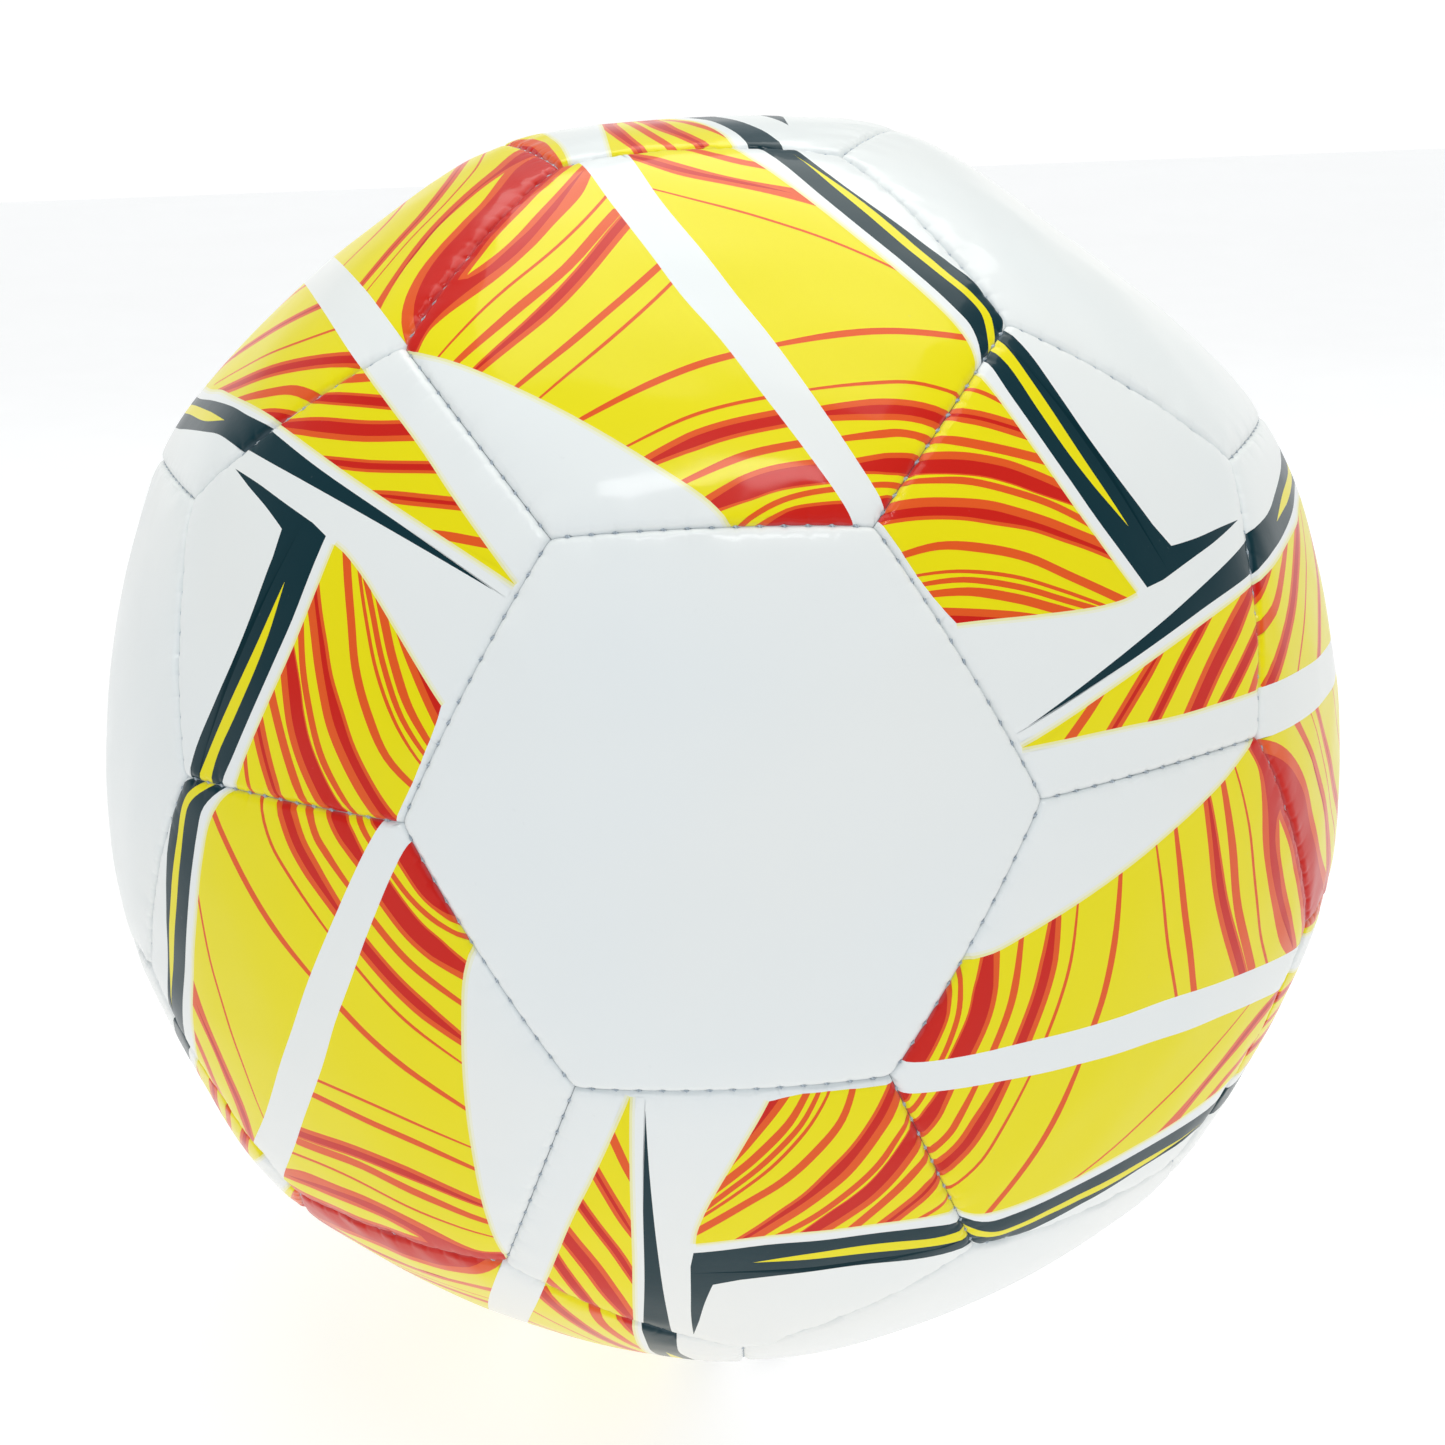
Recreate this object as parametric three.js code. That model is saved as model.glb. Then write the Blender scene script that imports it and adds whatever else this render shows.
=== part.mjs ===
// A size 5 football with 32 sewn panels: 20 hexagons and 12 pentagons, a rubber bladder
// inside them, and a needle valve. Millimetres, +Z up, origin at the ball's centre.
// The ball stands on a pentagon, and its valve is in the upper pentagon that faces +Y.
import * as THREE from 'three';

// ---- driving dimensions -------------------------------------------------------------
const panelCentreRadius = 109.2; // ball centre to the outer skin at a panel's middle
const panelThickness = 2.8; // skin, foam and cloth backing together
const hexagonFlatness = 0.20; // 0 follows a sphere, 1 is a flat plate
const pentagonFlatness = 0.31; // smaller panels stay a little flatter
const shoulderInset = 4.0; // where the skin starts to roll down into the seam
const shoulderHalfInset = 1.6;
const shoulderHalfDrop = 0.45;
const seamInset = 0.2; // half the gap between two neighbouring panels
const seamDrop = 1.9; // depth at which the skin turns straight in
const allowanceBottomRadius = 104.2; // inner rim of the turned-in seam allowance
const allowanceThickness = 2.4;
const stepsPerEdge = 3; // straight pieces along one seam, from corner to corner
// Sizes of the rings of points across a panel, as shares of its outline.
const flatScale = 0.2; // the flat at the top and bottom of the ball, and round the valve
const nextToFlatScale = 0.55;
const middleScale = 0.5;

const threadHalfDiagonal = 0.5; // sewing thread, 1 mm across
const threadDrop = 1.0; // how deep the thread lies below the hexagons' edge
const threadTrim = 1.0; // how far a run stays short of a corner of the closing seam

const bladderRadius = 103.7;
const bladderThickness = 0.7;
const bladderOpeningRadius = 4.85;
const bladderSegments = 20;

const valveSegments = 20;
const valveHoleRadius = 4.9; // hole through the skin and the cloth washer
const valveHoleTuck = 0.1; // how far the hole's rim reaches below the panel's cloth
const stemRadius = 4.5;
const stemTop = 108.7; // heights along the valve's axis, from the ball's centre
const stemBottom = 93;
const stemBoreRadius = 2.35;
const headPocketRadius = 3.3;
const headPocketFloor = 107.3;
const flangeRadius = 12;
const flangeOuterDish = 104.85;
const flangeInnerDish = 104.05;
const plugHeadRadius = 3.0;
const plugHeadTop = 108.6;
const plugHeadUnderside = 107.6;
const plugShankRadius = 2.0;
const plugBottom = 94.2;
const plugChamfer = 0.8;
const needleGuideRadius = 1.1;
const needleGuideDepth = 3.0;
const washerRadius = 15;
const washerOuterDish = 105.8;
const washerInnerDish = 105.15;

// ---- materials ----------------------------------------------------------------------
const skinMaterial = (colour) =>
  new THREE.MeshStandardMaterial({ color: colour, roughness: 0.25, metalness: 0 });
const whiteSkin = skinMaterial(0xedf2f4);
const printedSkin = skinMaterial(0xf1e21c);
const threadMaterial = new THREE.MeshStandardMaterial({ color: 0xdfe3e6, roughness: 0.7 });
const bladderMaterial = new THREE.MeshStandardMaterial({ color: 0x2a2a2c, roughness: 0.55 });
const valveMaterial = new THREE.MeshStandardMaterial({ color: 0x1c1d20, roughness: 0.5 });
const plugMaterial = new THREE.MeshStandardMaterial({ color: 0x111214, roughness: 0.45 });
const washerMaterial = new THREE.MeshStandardMaterial({ color: 0xd9d4c4, roughness: 0.9 });

// ---- layout: a truncated icosahedron ------------------------------------------------
// The twelve pentagons look along the corners of an icosahedron: one up, one down, and
// two rings of five between them. A hexagon looks along the middle of each of its faces.
const ringElevation = Math.atan(0.5);
const fifth = (2 * Math.PI) / 5;

function direction(azimuth, elevation) {
  const level = Math.cos(elevation);
  return new THREE.Vector3(level * Math.cos(azimuth), level * Math.sin(azimuth), Math.sin(elevation));
}

const pentagonAxes = [new THREE.Vector3(0, 0, 1)];
for (let i = 0; i < 5; i++) {
  pentagonAxes.push(direction(Math.PI / 2 + i * fifth, ringElevation));
}
for (let i = 0; i < 5; i++) {
  pentagonAxes.push(direction(-Math.PI / 2 + i * fifth, -ringElevation));
}
pentagonAxes.push(new THREE.Vector3(0, 0, -1));
const valveAxis = pentagonAxes[1];

// Two neighbouring pentagons' axes have a dot product of 0.447, and the next ones -0.447.
const areNeighbours = (a, b) => a !== b && a.dot(b) > 0;
// The panel corner on the line from pentagon axis a to pentagon axis b, nearer to a.
const cornerBetween = (a, b) => a.clone().multiplyScalar(2).add(b).normalize();

// An angle from 0 up to a full turn, with a hair below 0 taken as 0.
const rounding = 1e-6;
function fullTurnAngle(y, x) {
  const angle = Math.atan2(y, x);
  return angle < -rounding ? angle + 2 * Math.PI : angle;
}

function sortedAround(axis, corners) {
  const across = corners[0].clone().addScaledVector(axis, -corners[0].dot(axis)).normalize();
  const along = new THREE.Vector3().crossVectors(axis, across);
  const angle = (corner) => Math.atan2(corner.dot(along), corner.dot(across));
  return corners.sort((p, q) => angle(p) - angle(q));
}

function makePanels() {
  const panels = [];
  for (const axis of pentagonAxes) {
    const around = pentagonAxes.filter((other) => areNeighbours(axis, other));
    const corners = around.map((other) => cornerBetween(axis, other));
    panels.push({ axis, corners: sortedAround(axis, corners), flatness: pentagonFlatness });
  }
  for (let i = 0; i < 12; i++) {
    for (let j = i + 1; j < 12; j++) {
      for (let k = j + 1; k < 12; k++) {
        const [a, b, c] = [pentagonAxes[i], pentagonAxes[j], pentagonAxes[k]];
        if (!areNeighbours(a, b) || !areNeighbours(b, c) || !areNeighbours(a, c)) continue;
        const axis = a.clone().add(b).add(c).normalize();
        const pairs = [[a, b], [b, a], [b, c], [c, b], [c, a], [a, c]];
        const corners = pairs.map(([from, to]) => cornerBetween(from, to));
        panels.push({ axis, corners: sortedAround(axis, corners), flatness: hexagonFlatness });
      }
    }
  }
  return panels;
}

// Panels are named by row from the top down, and counted anticlockwise from +X in a row.
const rowNames = {
  5: ['pentagon_panel_top', 'pentagon_panel_upper', 'pentagon_panel_lower', 'pentagon_panel_base'],
  6: ['hexagon_panel_top', 'hexagon_panel_upper', 'hexagon_panel_lower', 'hexagon_panel_bottom'],
};
// The heights of the axes' tips that part one row from the next.
const rowLimits = { 5: [0.9, 0, -0.9], 6: [0.5, 0, -0.5] };

function namePanels(panels) {
  const azimuth = (panel) => fullTurnAngle(panel.axis.y, panel.axis.x);
  for (const sides of [5, 6]) {
    for (let row = 0; row < 4; row++) {
      const members = panels.filter(({ corners, axis }) =>
        corners.length === sides && rowLimits[sides].filter((limit) => axis.z < limit).length === row);
      members.sort((p, q) => azimuth(p) - azimuth(q));
      members.forEach((panel, i) => {
        const name = rowNames[sides][row];
        panel.name = members.length > 1 ? `${name}_${i + 1}` : name;
      });
    }
  }
}

// The print repeats three times about the front hexagon's axis, and again on the back.
// It leaves white the front and back hexagons, and every second one of the hexagons that
// lie next but one to them.
const frontAxis = pentagonAxes[3].clone().add(pentagonAxes[4]).add(pentagonAxes[6]).normalize();
const parallel = (a, b) => Math.abs(a.dot(b)) > 1 - rounding;

function isWhite({ axis, corners }) {
  if (corners.length === 5) return false;
  if (parallel(axis, frontAxis)) return true;
  const left = new THREE.Vector3().crossVectors(frontAxis, pentagonAxes[0]).normalize();
  const up = new THREE.Vector3().crossVectors(left, frontAxis);
  const turn = Math.atan2(axis.dot(left), axis.dot(up));
  return Math.sin(3 * turn) < -0.5;
}

// ---- one panel ----------------------------------------------------------------------
// Distance from the ball's centre to a panel's outer skin, in a direction.
const skinRadius = (panel, towards, radius) =>
  radius * (1 - panel.flatness + panel.flatness / towards.dot(panel.axis));

// The panel's outline as steps along its edges, measured on the plane that touches the
// unit sphere at the panel's middle: there the seams are straight.
function outlineOf(panel) {
  const flat = panel.corners.map((corner) =>
    corner.clone().divideScalar(corner.dot(panel.axis)).sub(panel.axis));
  const outline = [];
  flat.forEach((from, i) => {
    const to = flat[(i + 1) % flat.length];
    for (let step = 0; step < stepsPerEdge; step++) {
      outline.push(from.clone().lerp(to, step / stepsPerEdge));
    }
  });
  return outline;
}

// Joins rings of points into one closed surface. The rings run from the middle of the
// outer side over the rim to the middle of the inner side. A first or last entry that is
// a single point closes that side, and without them the last ring joins the first.
function closedSurface(rings) {
  const positions = [];
  const quad = (a, b, c, d) => positions.push(a, b, c, a, c, d);
  const pairs = rings.map((ring, i) => [ring, rings[(i + 1) % rings.length]]);
  if (!Array.isArray(rings[0])) pairs.pop();
  for (const [near, far] of pairs) {
    const count = Array.isArray(near) ? near.length : far.length;
    for (let i = 0; i < count; i++) {
      const j = (i + 1) % count;
      if (!Array.isArray(near)) positions.push(near, far[i], far[j]);
      else if (!Array.isArray(far)) positions.push(near[i], far, near[j]);
      else quad(near[i], far[i], far[j], near[j]);
    }
  }
  const geometry = new THREE.BufferGeometry().setFromPoints(positions);
  geometry.computeVertexNormals();
  return geometry;
}

function panelGeometry(panel, { hole = false, flat = false } = {}) {
  const outline = outlineOf(panel);
  const apothem = Math.min(...outline.map((p) => p.length()));
  const steepness = apothem * apothem + 1;
  const widthAtRim = (panelCentreRadius * apothem) / steepness;
  const scaleAt = (inset) => 1 - inset / widthAtRim;
  const towards = (scale, p) => panel.axis.clone().addScaledVector(p, scale).normalize();
  const ring = (scale, radiusOf) => outline.map((p) => {
    const q = towards(scale, p);
    return q.multiplyScalar(radiusOf(q));
  });
  const outer = (scale, drop) => ring(scale, (q) => skinRadius(panel, q, panelCentreRadius) - drop);
  const inner = (scale) => ring(scale, (q) => skinRadius(panel, q, panelCentreRadius) - panelThickness);
  const level = (radius) => panel.axis.clone().multiplyScalar(radius);

  const sides = [
    outer(scaleAt(shoulderInset), 0),
    outer(scaleAt(shoulderHalfInset), shoulderHalfDrop),
    outer(scaleAt(seamInset), seamDrop),
    ring(scaleAt(seamInset), () => allowanceBottomRadius),
    ring(scaleAt(seamInset + allowanceThickness), () => allowanceBottomRadius),
    inner(scaleAt(seamInset + allowanceThickness)),
    inner(middleScale),
  ];
  const innerHeight = panelCentreRadius - panelThickness;
  if (!hole && !flat) {
    return closedSurface([
      level(panelCentreRadius), outer(middleScale, 0), ...sides, level(innerHeight),
    ]);
  }
  // A flat is the plane through one ring of the skin, square to the panel's axis.
  const flatRing = outer(flatScale, 0);
  const flatHeight = flatRing[0].dot(panel.axis);
  for (const p of flatRing) p.addScaledVector(panel.axis, flatHeight - p.dot(panel.axis));
  const flatSides = [flatRing, outer(nextToFlatScale, 0), ...sides];
  if (!hole) return closedSurface([level(flatHeight), ...flatSides, level(innerHeight)]);
  const holeRing = (height) => outline.map((p) =>
    level(height).addScaledVector(p.clone().normalize(), valveHoleRadius));
  return closedSurface([holeRing(flatHeight), ...flatSides, holeRing(innerHeight - valveHoleTuck)]);
}

// ---- sewing thread ------------------------------------------------------------------
const keyOf = (corner) => corner.toArray().map((x) => Math.round(x * 1000) + 0).join(' ');

function seamsOf(panels) {
  const seams = new Map();
  for (const panel of panels) {
    panel.corners.forEach((from, i) => {
      const to = panel.corners[(i + 1) % panel.corners.length];
      const name = [keyOf(from), keyOf(to)].sort().join('|');
      if (!seams.has(name)) seams.set(name, { ends: [from, to], panels: [] });
      seams.get(name).panels.push(panel);
    });
  }
  return [...seams.values()];
}

// The middle of the thread along a seam, t going from 0 at one corner to 1 at the other.
function threadMiddle(seam, t) {
  const hexagon = seam.panels.find((panel) => panel.corners.length === 6);
  const towards = seam.ends[0].clone().multiplyScalar(1 - t).addScaledVector(seam.ends[1], t).normalize();
  const radius = skinRadius(hexagon, towards, panelCentreRadius) - threadDrop;
  return towards.multiplyScalar(radius);
}

// Where runs of thread meet at a corner, neighbouring runs share a mitred side point.
// Returns the side points of each run, seen along it as it leaves the corner.
function mitredSides(corner, runs) {
  const leaving = runs.map((seam) => {
    const other = keyOf(seam.ends[0]) === keyOf(corner) ? seam.ends[1] : seam.ends[0];
    return { seam, along: other.clone().addScaledVector(corner, -other.dot(corner)).normalize() };
  });
  const zero = leaving[0].along;
  const quarter = new THREE.Vector3().crossVectors(corner, zero);
  for (const run of leaving) {
    run.angle = fullTurnAngle(run.along.dot(quarter), run.along.dot(zero));
  }
  leaving.sort((p, q) => p.angle - q.angle);
  const sides = new Map(leaving.map(({ seam }) => [seam, {}]));
  leaving.forEach((run, i) => {
    const next = leaving[(i + 1) % leaving.length];
    const half = ((next.angle - run.angle + 2 * Math.PI) % (2 * Math.PI)) / 2;
    const shared = run.along.clone().applyAxisAngle(corner, half);
    shared.multiplyScalar(threadHalfDiagonal / Math.sin(half));
    sides.get(run.seam).left = shared;
    sides.get(next.seam).right = shared;
  });
  return sides;
}

// A net of thread runs as one closed surface. A run that meets no other at a corner is
// trimmed short of it and gets an end face.
function threadGeometry(seams) {
  const meeting = new Map();
  for (const seam of seams) {
    for (const corner of seam.ends) {
      const key = keyOf(corner);
      if (!meeting.has(key)) meeting.set(key, { corner, runs: [] });
      meeting.get(key).runs.push(seam);
    }
  }
  for (const place of meeting.values()) {
    if (place.runs.length > 1) place.sides = mitredSides(place.corner, place.runs);
  }
  const positions = [];
  for (const seam of seams) {
    const side = new THREE.Vector3().crossVectors(...seam.ends).normalize();
    const length = panelCentreRadius * seam.ends[0].angleTo(seam.ends[1]);
    const places = seam.ends.map((corner) => meeting.get(keyOf(corner)));
    const trims = places.map((place) => (place.sides ? 0 : threadTrim / length));
    const section = (i) => {
      const end = { 0: 0, [stepsPerEdge]: 1 }[i];
      const t = end === undefined ? i / stepsPerEdge : Math.abs(end - trims[end]);
      const middle = threadMiddle(seam, t);
      const up = middle.clone().normalize().multiplyScalar(threadHalfDiagonal);
      let left = side.clone().multiplyScalar(threadHalfDiagonal);
      let right = left.clone().negate();
      if (end !== undefined && places[end].sides) {
        const sides = places[end].sides.get(seam);
        [left, right] = end === 0 ? [sides.left, sides.right] : [sides.right, sides.left];
      }
      return [up, right, up.clone().negate(), left].map((offset) => middle.clone().add(offset));
    };
    const rings = [];
    for (let i = 0; i <= stepsPerEdge; i++) rings.push(section(i));
    for (let i = 0; i < stepsPerEdge; i++) {
      for (let k = 0; k < 4; k++) {
        const [a, b] = [rings[i][k], rings[i][(k + 1) % 4]];
        const [d, c] = [rings[i + 1][k], rings[i + 1][(k + 1) % 4]];
        positions.push(a, b, c, a, c, d);
      }
    }
    const [first, last] = [rings[0], rings[stepsPerEdge]];
    if (!places[0].sides) positions.push(first[0], first[2], first[1], first[0], first[3], first[2]);
    if (!places[1].sides) positions.push(last[0], last[1], last[2], last[0], last[2], last[3]);
  }
  const geometry = new THREE.BufferGeometry().setFromPoints(positions);
  geometry.computeVertexNormals();
  return geometry;
}

// The seams of the upper half, those of the lower half, and the last seam to be sewn,
// which closes the ball between the two.
function threadParts(panels) {
  const parts = { lower: [], closing: [], upper: [] };
  const names = ['lower', 'closing', 'upper'];
  for (const seam of seamsOf(panels)) {
    const upperPanels = seam.panels.filter((panel) => panel.axis.z > 0).length;
    parts[names[upperPanels]].push(seam);
  }
  return parts;
}

// ---- bladder and valve, turned about the valve's axis -------------------------------
const dish = (radius, x) => Math.sqrt(radius * radius - x * x);

function turned(profile, segments) {
  const points = profile.map(([x, y]) => new THREE.Vector2(x, y));
  const onAxis = profile[0][0] === 0;
  if (!onAxis) points.push(points[0].clone());
  // LatheGeometry turns about +Y with its outside on the profile's left: stand it on +Z.
  const geometry = new THREE.LatheGeometry(points.reverse(), segments);
  return geometry.rotateX(Math.PI / 2);
}

function bladderGeometry() {
  const steps = bladderSegments / 2;
  const mouth = Math.asin(bladderOpeningRadius / bladderRadius);
  // From the mouth round to the far pole, which lies exactly on the axis.
  const arc = (radius) => {
    const points = [];
    for (let i = 0; i < steps; i++) {
      const polar = mouth + ((Math.PI - mouth) * i) / steps;
      points.push([radius * Math.sin(polar), radius * Math.cos(polar)]);
    }
    return [...points, [0, -radius]];
  };
  const outside = arc(bladderRadius);
  const inside = arc(bladderRadius - bladderThickness);
  return turned([...inside.reverse(), ...outside], bladderSegments);
}

function valveBodyGeometry() {
  return turned([
    [headPocketRadius, stemTop],
    [stemRadius, stemTop],
    [stemRadius, dish(flangeOuterDish, stemRadius)],
    [flangeRadius, dish(flangeOuterDish, flangeRadius)],
    [flangeRadius, dish(flangeInnerDish, flangeRadius)],
    [stemRadius, dish(flangeInnerDish, stemRadius)],
    [stemRadius, stemBottom], [stemBoreRadius, stemBottom],
    [stemBoreRadius, headPocketFloor], [headPocketRadius, headPocketFloor],
  ], valveSegments);
}

function valvePlugGeometry() {
  return turned([
    [0, plugHeadTop - needleGuideDepth], [needleGuideRadius, plugHeadTop - needleGuideDepth],
    [needleGuideRadius, plugHeadTop], [plugHeadRadius, plugHeadTop],
    [plugHeadRadius, plugHeadUnderside], [plugShankRadius, plugHeadUnderside],
    [plugShankRadius, plugBottom + plugChamfer], [plugShankRadius - plugChamfer, plugBottom],
    [0, plugBottom],
  ], valveSegments);
}

function valveWasherGeometry() {
  return turned([
    [valveHoleRadius, dish(washerOuterDish, valveHoleRadius)],
    [washerRadius, dish(washerOuterDish, washerRadius)],
    [washerRadius, dish(washerInnerDish, washerRadius)],
    [valveHoleRadius, dish(washerInnerDish, valveHoleRadius)],
  ], valveSegments);
}

// ---- assembly -----------------------------------------------------------------------
function part(name, geometry, material) {
  const mesh = new THREE.Mesh(geometry, material.clone());
  mesh.name = name;
  return mesh;
}

const ball = new THREE.Group();
const panels = makePanels();
namePanels(panels);
for (const panel of panels) {
  const options = { hole: panel.axis === valveAxis, flat: parallel(panel.axis, pentagonAxes[0]) };
  ball.add(part(panel.name, panelGeometry(panel, options), isWhite(panel) ? whiteSkin : printedSkin));
}

for (const [half, seams] of Object.entries(threadParts(panels))) {
  ball.add(part(`seam_thread_${half}`, threadGeometry(seams), threadMaterial));
}

const alongValve = new THREE.Group();
alongValve.quaternion.setFromUnitVectors(new THREE.Vector3(0, 0, 1), valveAxis);
alongValve.add(part('bladder', bladderGeometry(), bladderMaterial));
alongValve.add(part('valve_body', valveBodyGeometry(), valveMaterial));
alongValve.add(part('valve_plug', valvePlugGeometry(), plugMaterial));
alongValve.add(part('valve_washer', valveWasherGeometry(), washerMaterial));
ball.add(alongValve);

export default ball;
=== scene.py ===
"""Looks of a hand-sewn football with 32 panels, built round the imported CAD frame. Metres, +Z up."""
import math

import bpy
import numpy as np
from mathutils import Matrix, Vector
from mathutils.geometry import delaunay_2d_cdt


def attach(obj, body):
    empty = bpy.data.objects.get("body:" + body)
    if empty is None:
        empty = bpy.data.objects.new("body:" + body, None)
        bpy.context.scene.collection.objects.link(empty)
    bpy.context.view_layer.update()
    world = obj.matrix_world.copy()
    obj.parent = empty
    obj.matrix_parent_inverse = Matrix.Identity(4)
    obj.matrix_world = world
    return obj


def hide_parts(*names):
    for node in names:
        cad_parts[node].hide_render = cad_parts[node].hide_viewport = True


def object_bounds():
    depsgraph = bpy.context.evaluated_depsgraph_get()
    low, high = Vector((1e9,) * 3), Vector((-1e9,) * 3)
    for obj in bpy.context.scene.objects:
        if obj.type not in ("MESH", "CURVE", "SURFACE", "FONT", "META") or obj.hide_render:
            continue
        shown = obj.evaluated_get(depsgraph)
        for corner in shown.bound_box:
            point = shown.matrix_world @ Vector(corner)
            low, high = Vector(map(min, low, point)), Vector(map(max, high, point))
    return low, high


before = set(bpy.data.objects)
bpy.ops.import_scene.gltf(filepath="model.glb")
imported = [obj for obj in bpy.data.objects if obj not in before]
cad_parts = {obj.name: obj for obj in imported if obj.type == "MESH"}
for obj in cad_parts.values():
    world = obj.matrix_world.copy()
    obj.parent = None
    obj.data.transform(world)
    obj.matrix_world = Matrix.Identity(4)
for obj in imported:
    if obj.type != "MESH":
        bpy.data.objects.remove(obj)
cad_low, cad_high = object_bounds()

MM = 0.001
BALL = "ball"
PLUG = "valve_plug"

# ---- driving sizes, in millimetres unless they say otherwise ---------------------------
HEXAGON_FLATNESS = 0.20  # 0 follows a sphere, 1 is a flat plate
PENTAGON_FLATNESS = 0.31
PANEL_THICKNESS = 2.8
SEAM_ROLL = 1.2  # width of the roll that takes the skin down into the seam
SEAM_ROLL_RADIUS = 1.5
SEAM_SLACK_DROP = 0.8  # the wider, softer fall of the panel towards its seam
SEAM_SLACK_REACH = 3.2
HALF_GAP = 0.03  # half the gap between two skins at the top of a seam
CLOSED_DEPTH = 3.6  # depth below which a seam is shut and shows no stitch holes
ALLOWANCE_BOTTOM = 104.2  # radius of the inner rim of the turned-in seam allowance
ALLOWANCE_THICKNESS = 2.4

STITCHES = 13  # on one seam, from corner to corner
STITCH_SPACES = 13.5  # the seam's length in stitch pitches
STITCH_PULL = 0.25  # how far a stitch pulls the skin down
STITCH_PULL_REACH = 0.9
STITCH_HOLE = 0.16  # how far a stitch parts the two skins
STITCH_SHARPNESS = 5

THREAD_RADIUS = 0.26
THREAD_SWING = 0.85  # how far the two strands run to the side between stitches
THREAD_CROSSING_DROP = 1.55  # depth of the strands where they cross in the seam
THREAD_HIDDEN_DROP = 2.4
THREAD_STAGGER = 0.12  # one strand passes this far over the other, and then under it

SETTLING = 0.12  # slow unevenness of the whole ball
PUCKER = 0.15  # small folds of the skin near a seam
PUCKER_REACH = 3.5
PUCKER_LENGTH = 7.0  # wavelength
PUCKER_CLEAR = 0.8  # the skin right at the seam stays smooth
BUMP_LENGTH = 16.0  # the panels' own slow unevenness, as high as half a pucker
PUCKER_WAVES = 9
SETTLING_WAVES = 4
SETTLING_SEED = 5
SETTLING_LENGTH = 150
FIRST_PANEL_SEED = 100

VALVE_HOLE_RADIUS = 4.9
VALVE_HOLE_ROLL = 0.8

BLADDER_THICKNESS = 0.7
BLADDER_OPENING = 4.85
STEM_RADIUS = 4.5
STEM_BORE = 2.35
STEM_GROOVES = ((101.5, 99.1), (97.6, 95.2))  # (top, bottom), heights along the valve's axis
POCKET_RADIUS = 3.3  # in the top of the stem, for the plug's head
POCKET_FLOOR = 107.3
FLANGE_OUTER_DISH = 104.85
FLANGE_INNER_DISH = 104.05
PLUG_SHANK = 2.0
PLUG_UNDERSIDE = 107.6  # of its head
PLUG_GROOVE = (102.4, 101.2)
PLUG_CHAMFER = 0.8
NEEDLE_GUIDE = 1.1
NEEDLE_GUIDE_DEPTH = 3.0
NEEDLE_SLIT = 0.66  # where the guide narrows inside the plug
NEEDLE_SLIT_START = 1.2
WASHER_OUTER_DISH = 105.8
WASHER_INNER_DISH = 105.15

# ---- small helpers ---------------------------------------------------------------------


def unit(v):
    v = np.asarray(v, float)
    return v / np.linalg.norm(v, axis=-1, keepdims=True)


def coordinates(node):
    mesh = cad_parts[node].data
    co = np.zeros(len(mesh.vertices) * 3)
    mesh.vertices.foreach_get("co", co)
    return co.reshape(-1, 3) / MM


def smoothstep(x, low, high):
    t = np.clip((x - low) / (high - low), 0, 1)
    return t * t * (3 - 2 * t)


# ---- layout: the panels of the frame as a truncated icosahedron ------------------------
RING_ELEVATION = math.atan(0.5)
FIFTH = 2 * math.pi / 5


def direction(azimuth, elevation):
    level = math.cos(elevation)
    return np.array([level * math.cos(azimuth), level * math.sin(azimuth), math.sin(elevation)])


PENTAGON_AXES = [np.array([0.0, 0.0, 1.0])]
PENTAGON_AXES += [direction(math.pi / 2 + i * FIFTH, RING_ELEVATION) for i in range(5)]
PENTAGON_AXES += [direction(-math.pi / 2 + i * FIFTH, -RING_ELEVATION) for i in range(5)]
PENTAGON_AXES += [np.array([0.0, 0.0, -1.0])]
VALVE_AXIS = PENTAGON_AXES[1]
FRONT_AXIS = unit(PENTAGON_AXES[3] + PENTAGON_AXES[4] + PENTAGON_AXES[6])


def near(a, b):
    return a is not b and a @ b > 0


def sorted_around(axis, corners):
    across = unit(corners[0] - axis * (corners[0] @ axis))
    along = np.cross(axis, across)
    return sorted(corners, key=lambda c: math.atan2(c @ along, c @ across))


def print_class(axis, sides):
    """Which of the ball's prints a panel has: plain, or one of four that repeat six times."""
    slant = axis @ FRONT_AXIS
    if sides == 5:
        return "beside_front" if abs(slant) > 0.5 else "beside_equator"
    if abs(slant) > 0.99:
        return "plain"
    if abs(slant) > 0.6:
        return "flame"
    left = unit(np.cross(FRONT_AXIS, PENTAGON_AXES[0]))
    up = np.cross(left, FRONT_AXIS)
    return "plain" if math.sin(3 * math.atan2(axis @ left, axis @ up)) < -0.5 else "band"


class Panel:
    """One sewn panel: its axis, corners and the flat frame that its print is drawn in."""

    def __init__(self, axis, corners, flatness):
        self.axis = axis
        self.corners = sorted_around(axis, corners)
        self.flatness = flatness
        self.sides = len(corners)
        self.print = print_class(axis, self.sides)
        pole = FRONT_AXIS if axis @ FRONT_AXIS > 0 else -FRONT_AXIS
        away = axis * (axis @ pole) - pole
        if self.print == "plain":
            away = np.cross(axis, self.corners[0])
        self.up = unit(away)
        self.right = np.cross(self.up, axis)
        self.size = math.tan(math.acos(axis @ corners[0]))
        ends = zip(self.corners, self.corners[1:] + self.corners[:1])
        self.edges = [Edge(axis, start, end) for start, end in ends]

    def flat(self, q):
        """Print coordinates of directions: on the plane that touches the unit sphere, corners at 1."""
        return np.stack([q @ self.right, q @ self.up], -1) / (q @ self.axis)[..., None] / self.size

    def towards(self, uv):
        """Directions from the ball's centre through print coordinates."""
        uv = np.asarray(uv, float) * self.size
        return unit(self.axis + uv[..., :1] * self.right + uv[..., 1:] * self.up)


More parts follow.
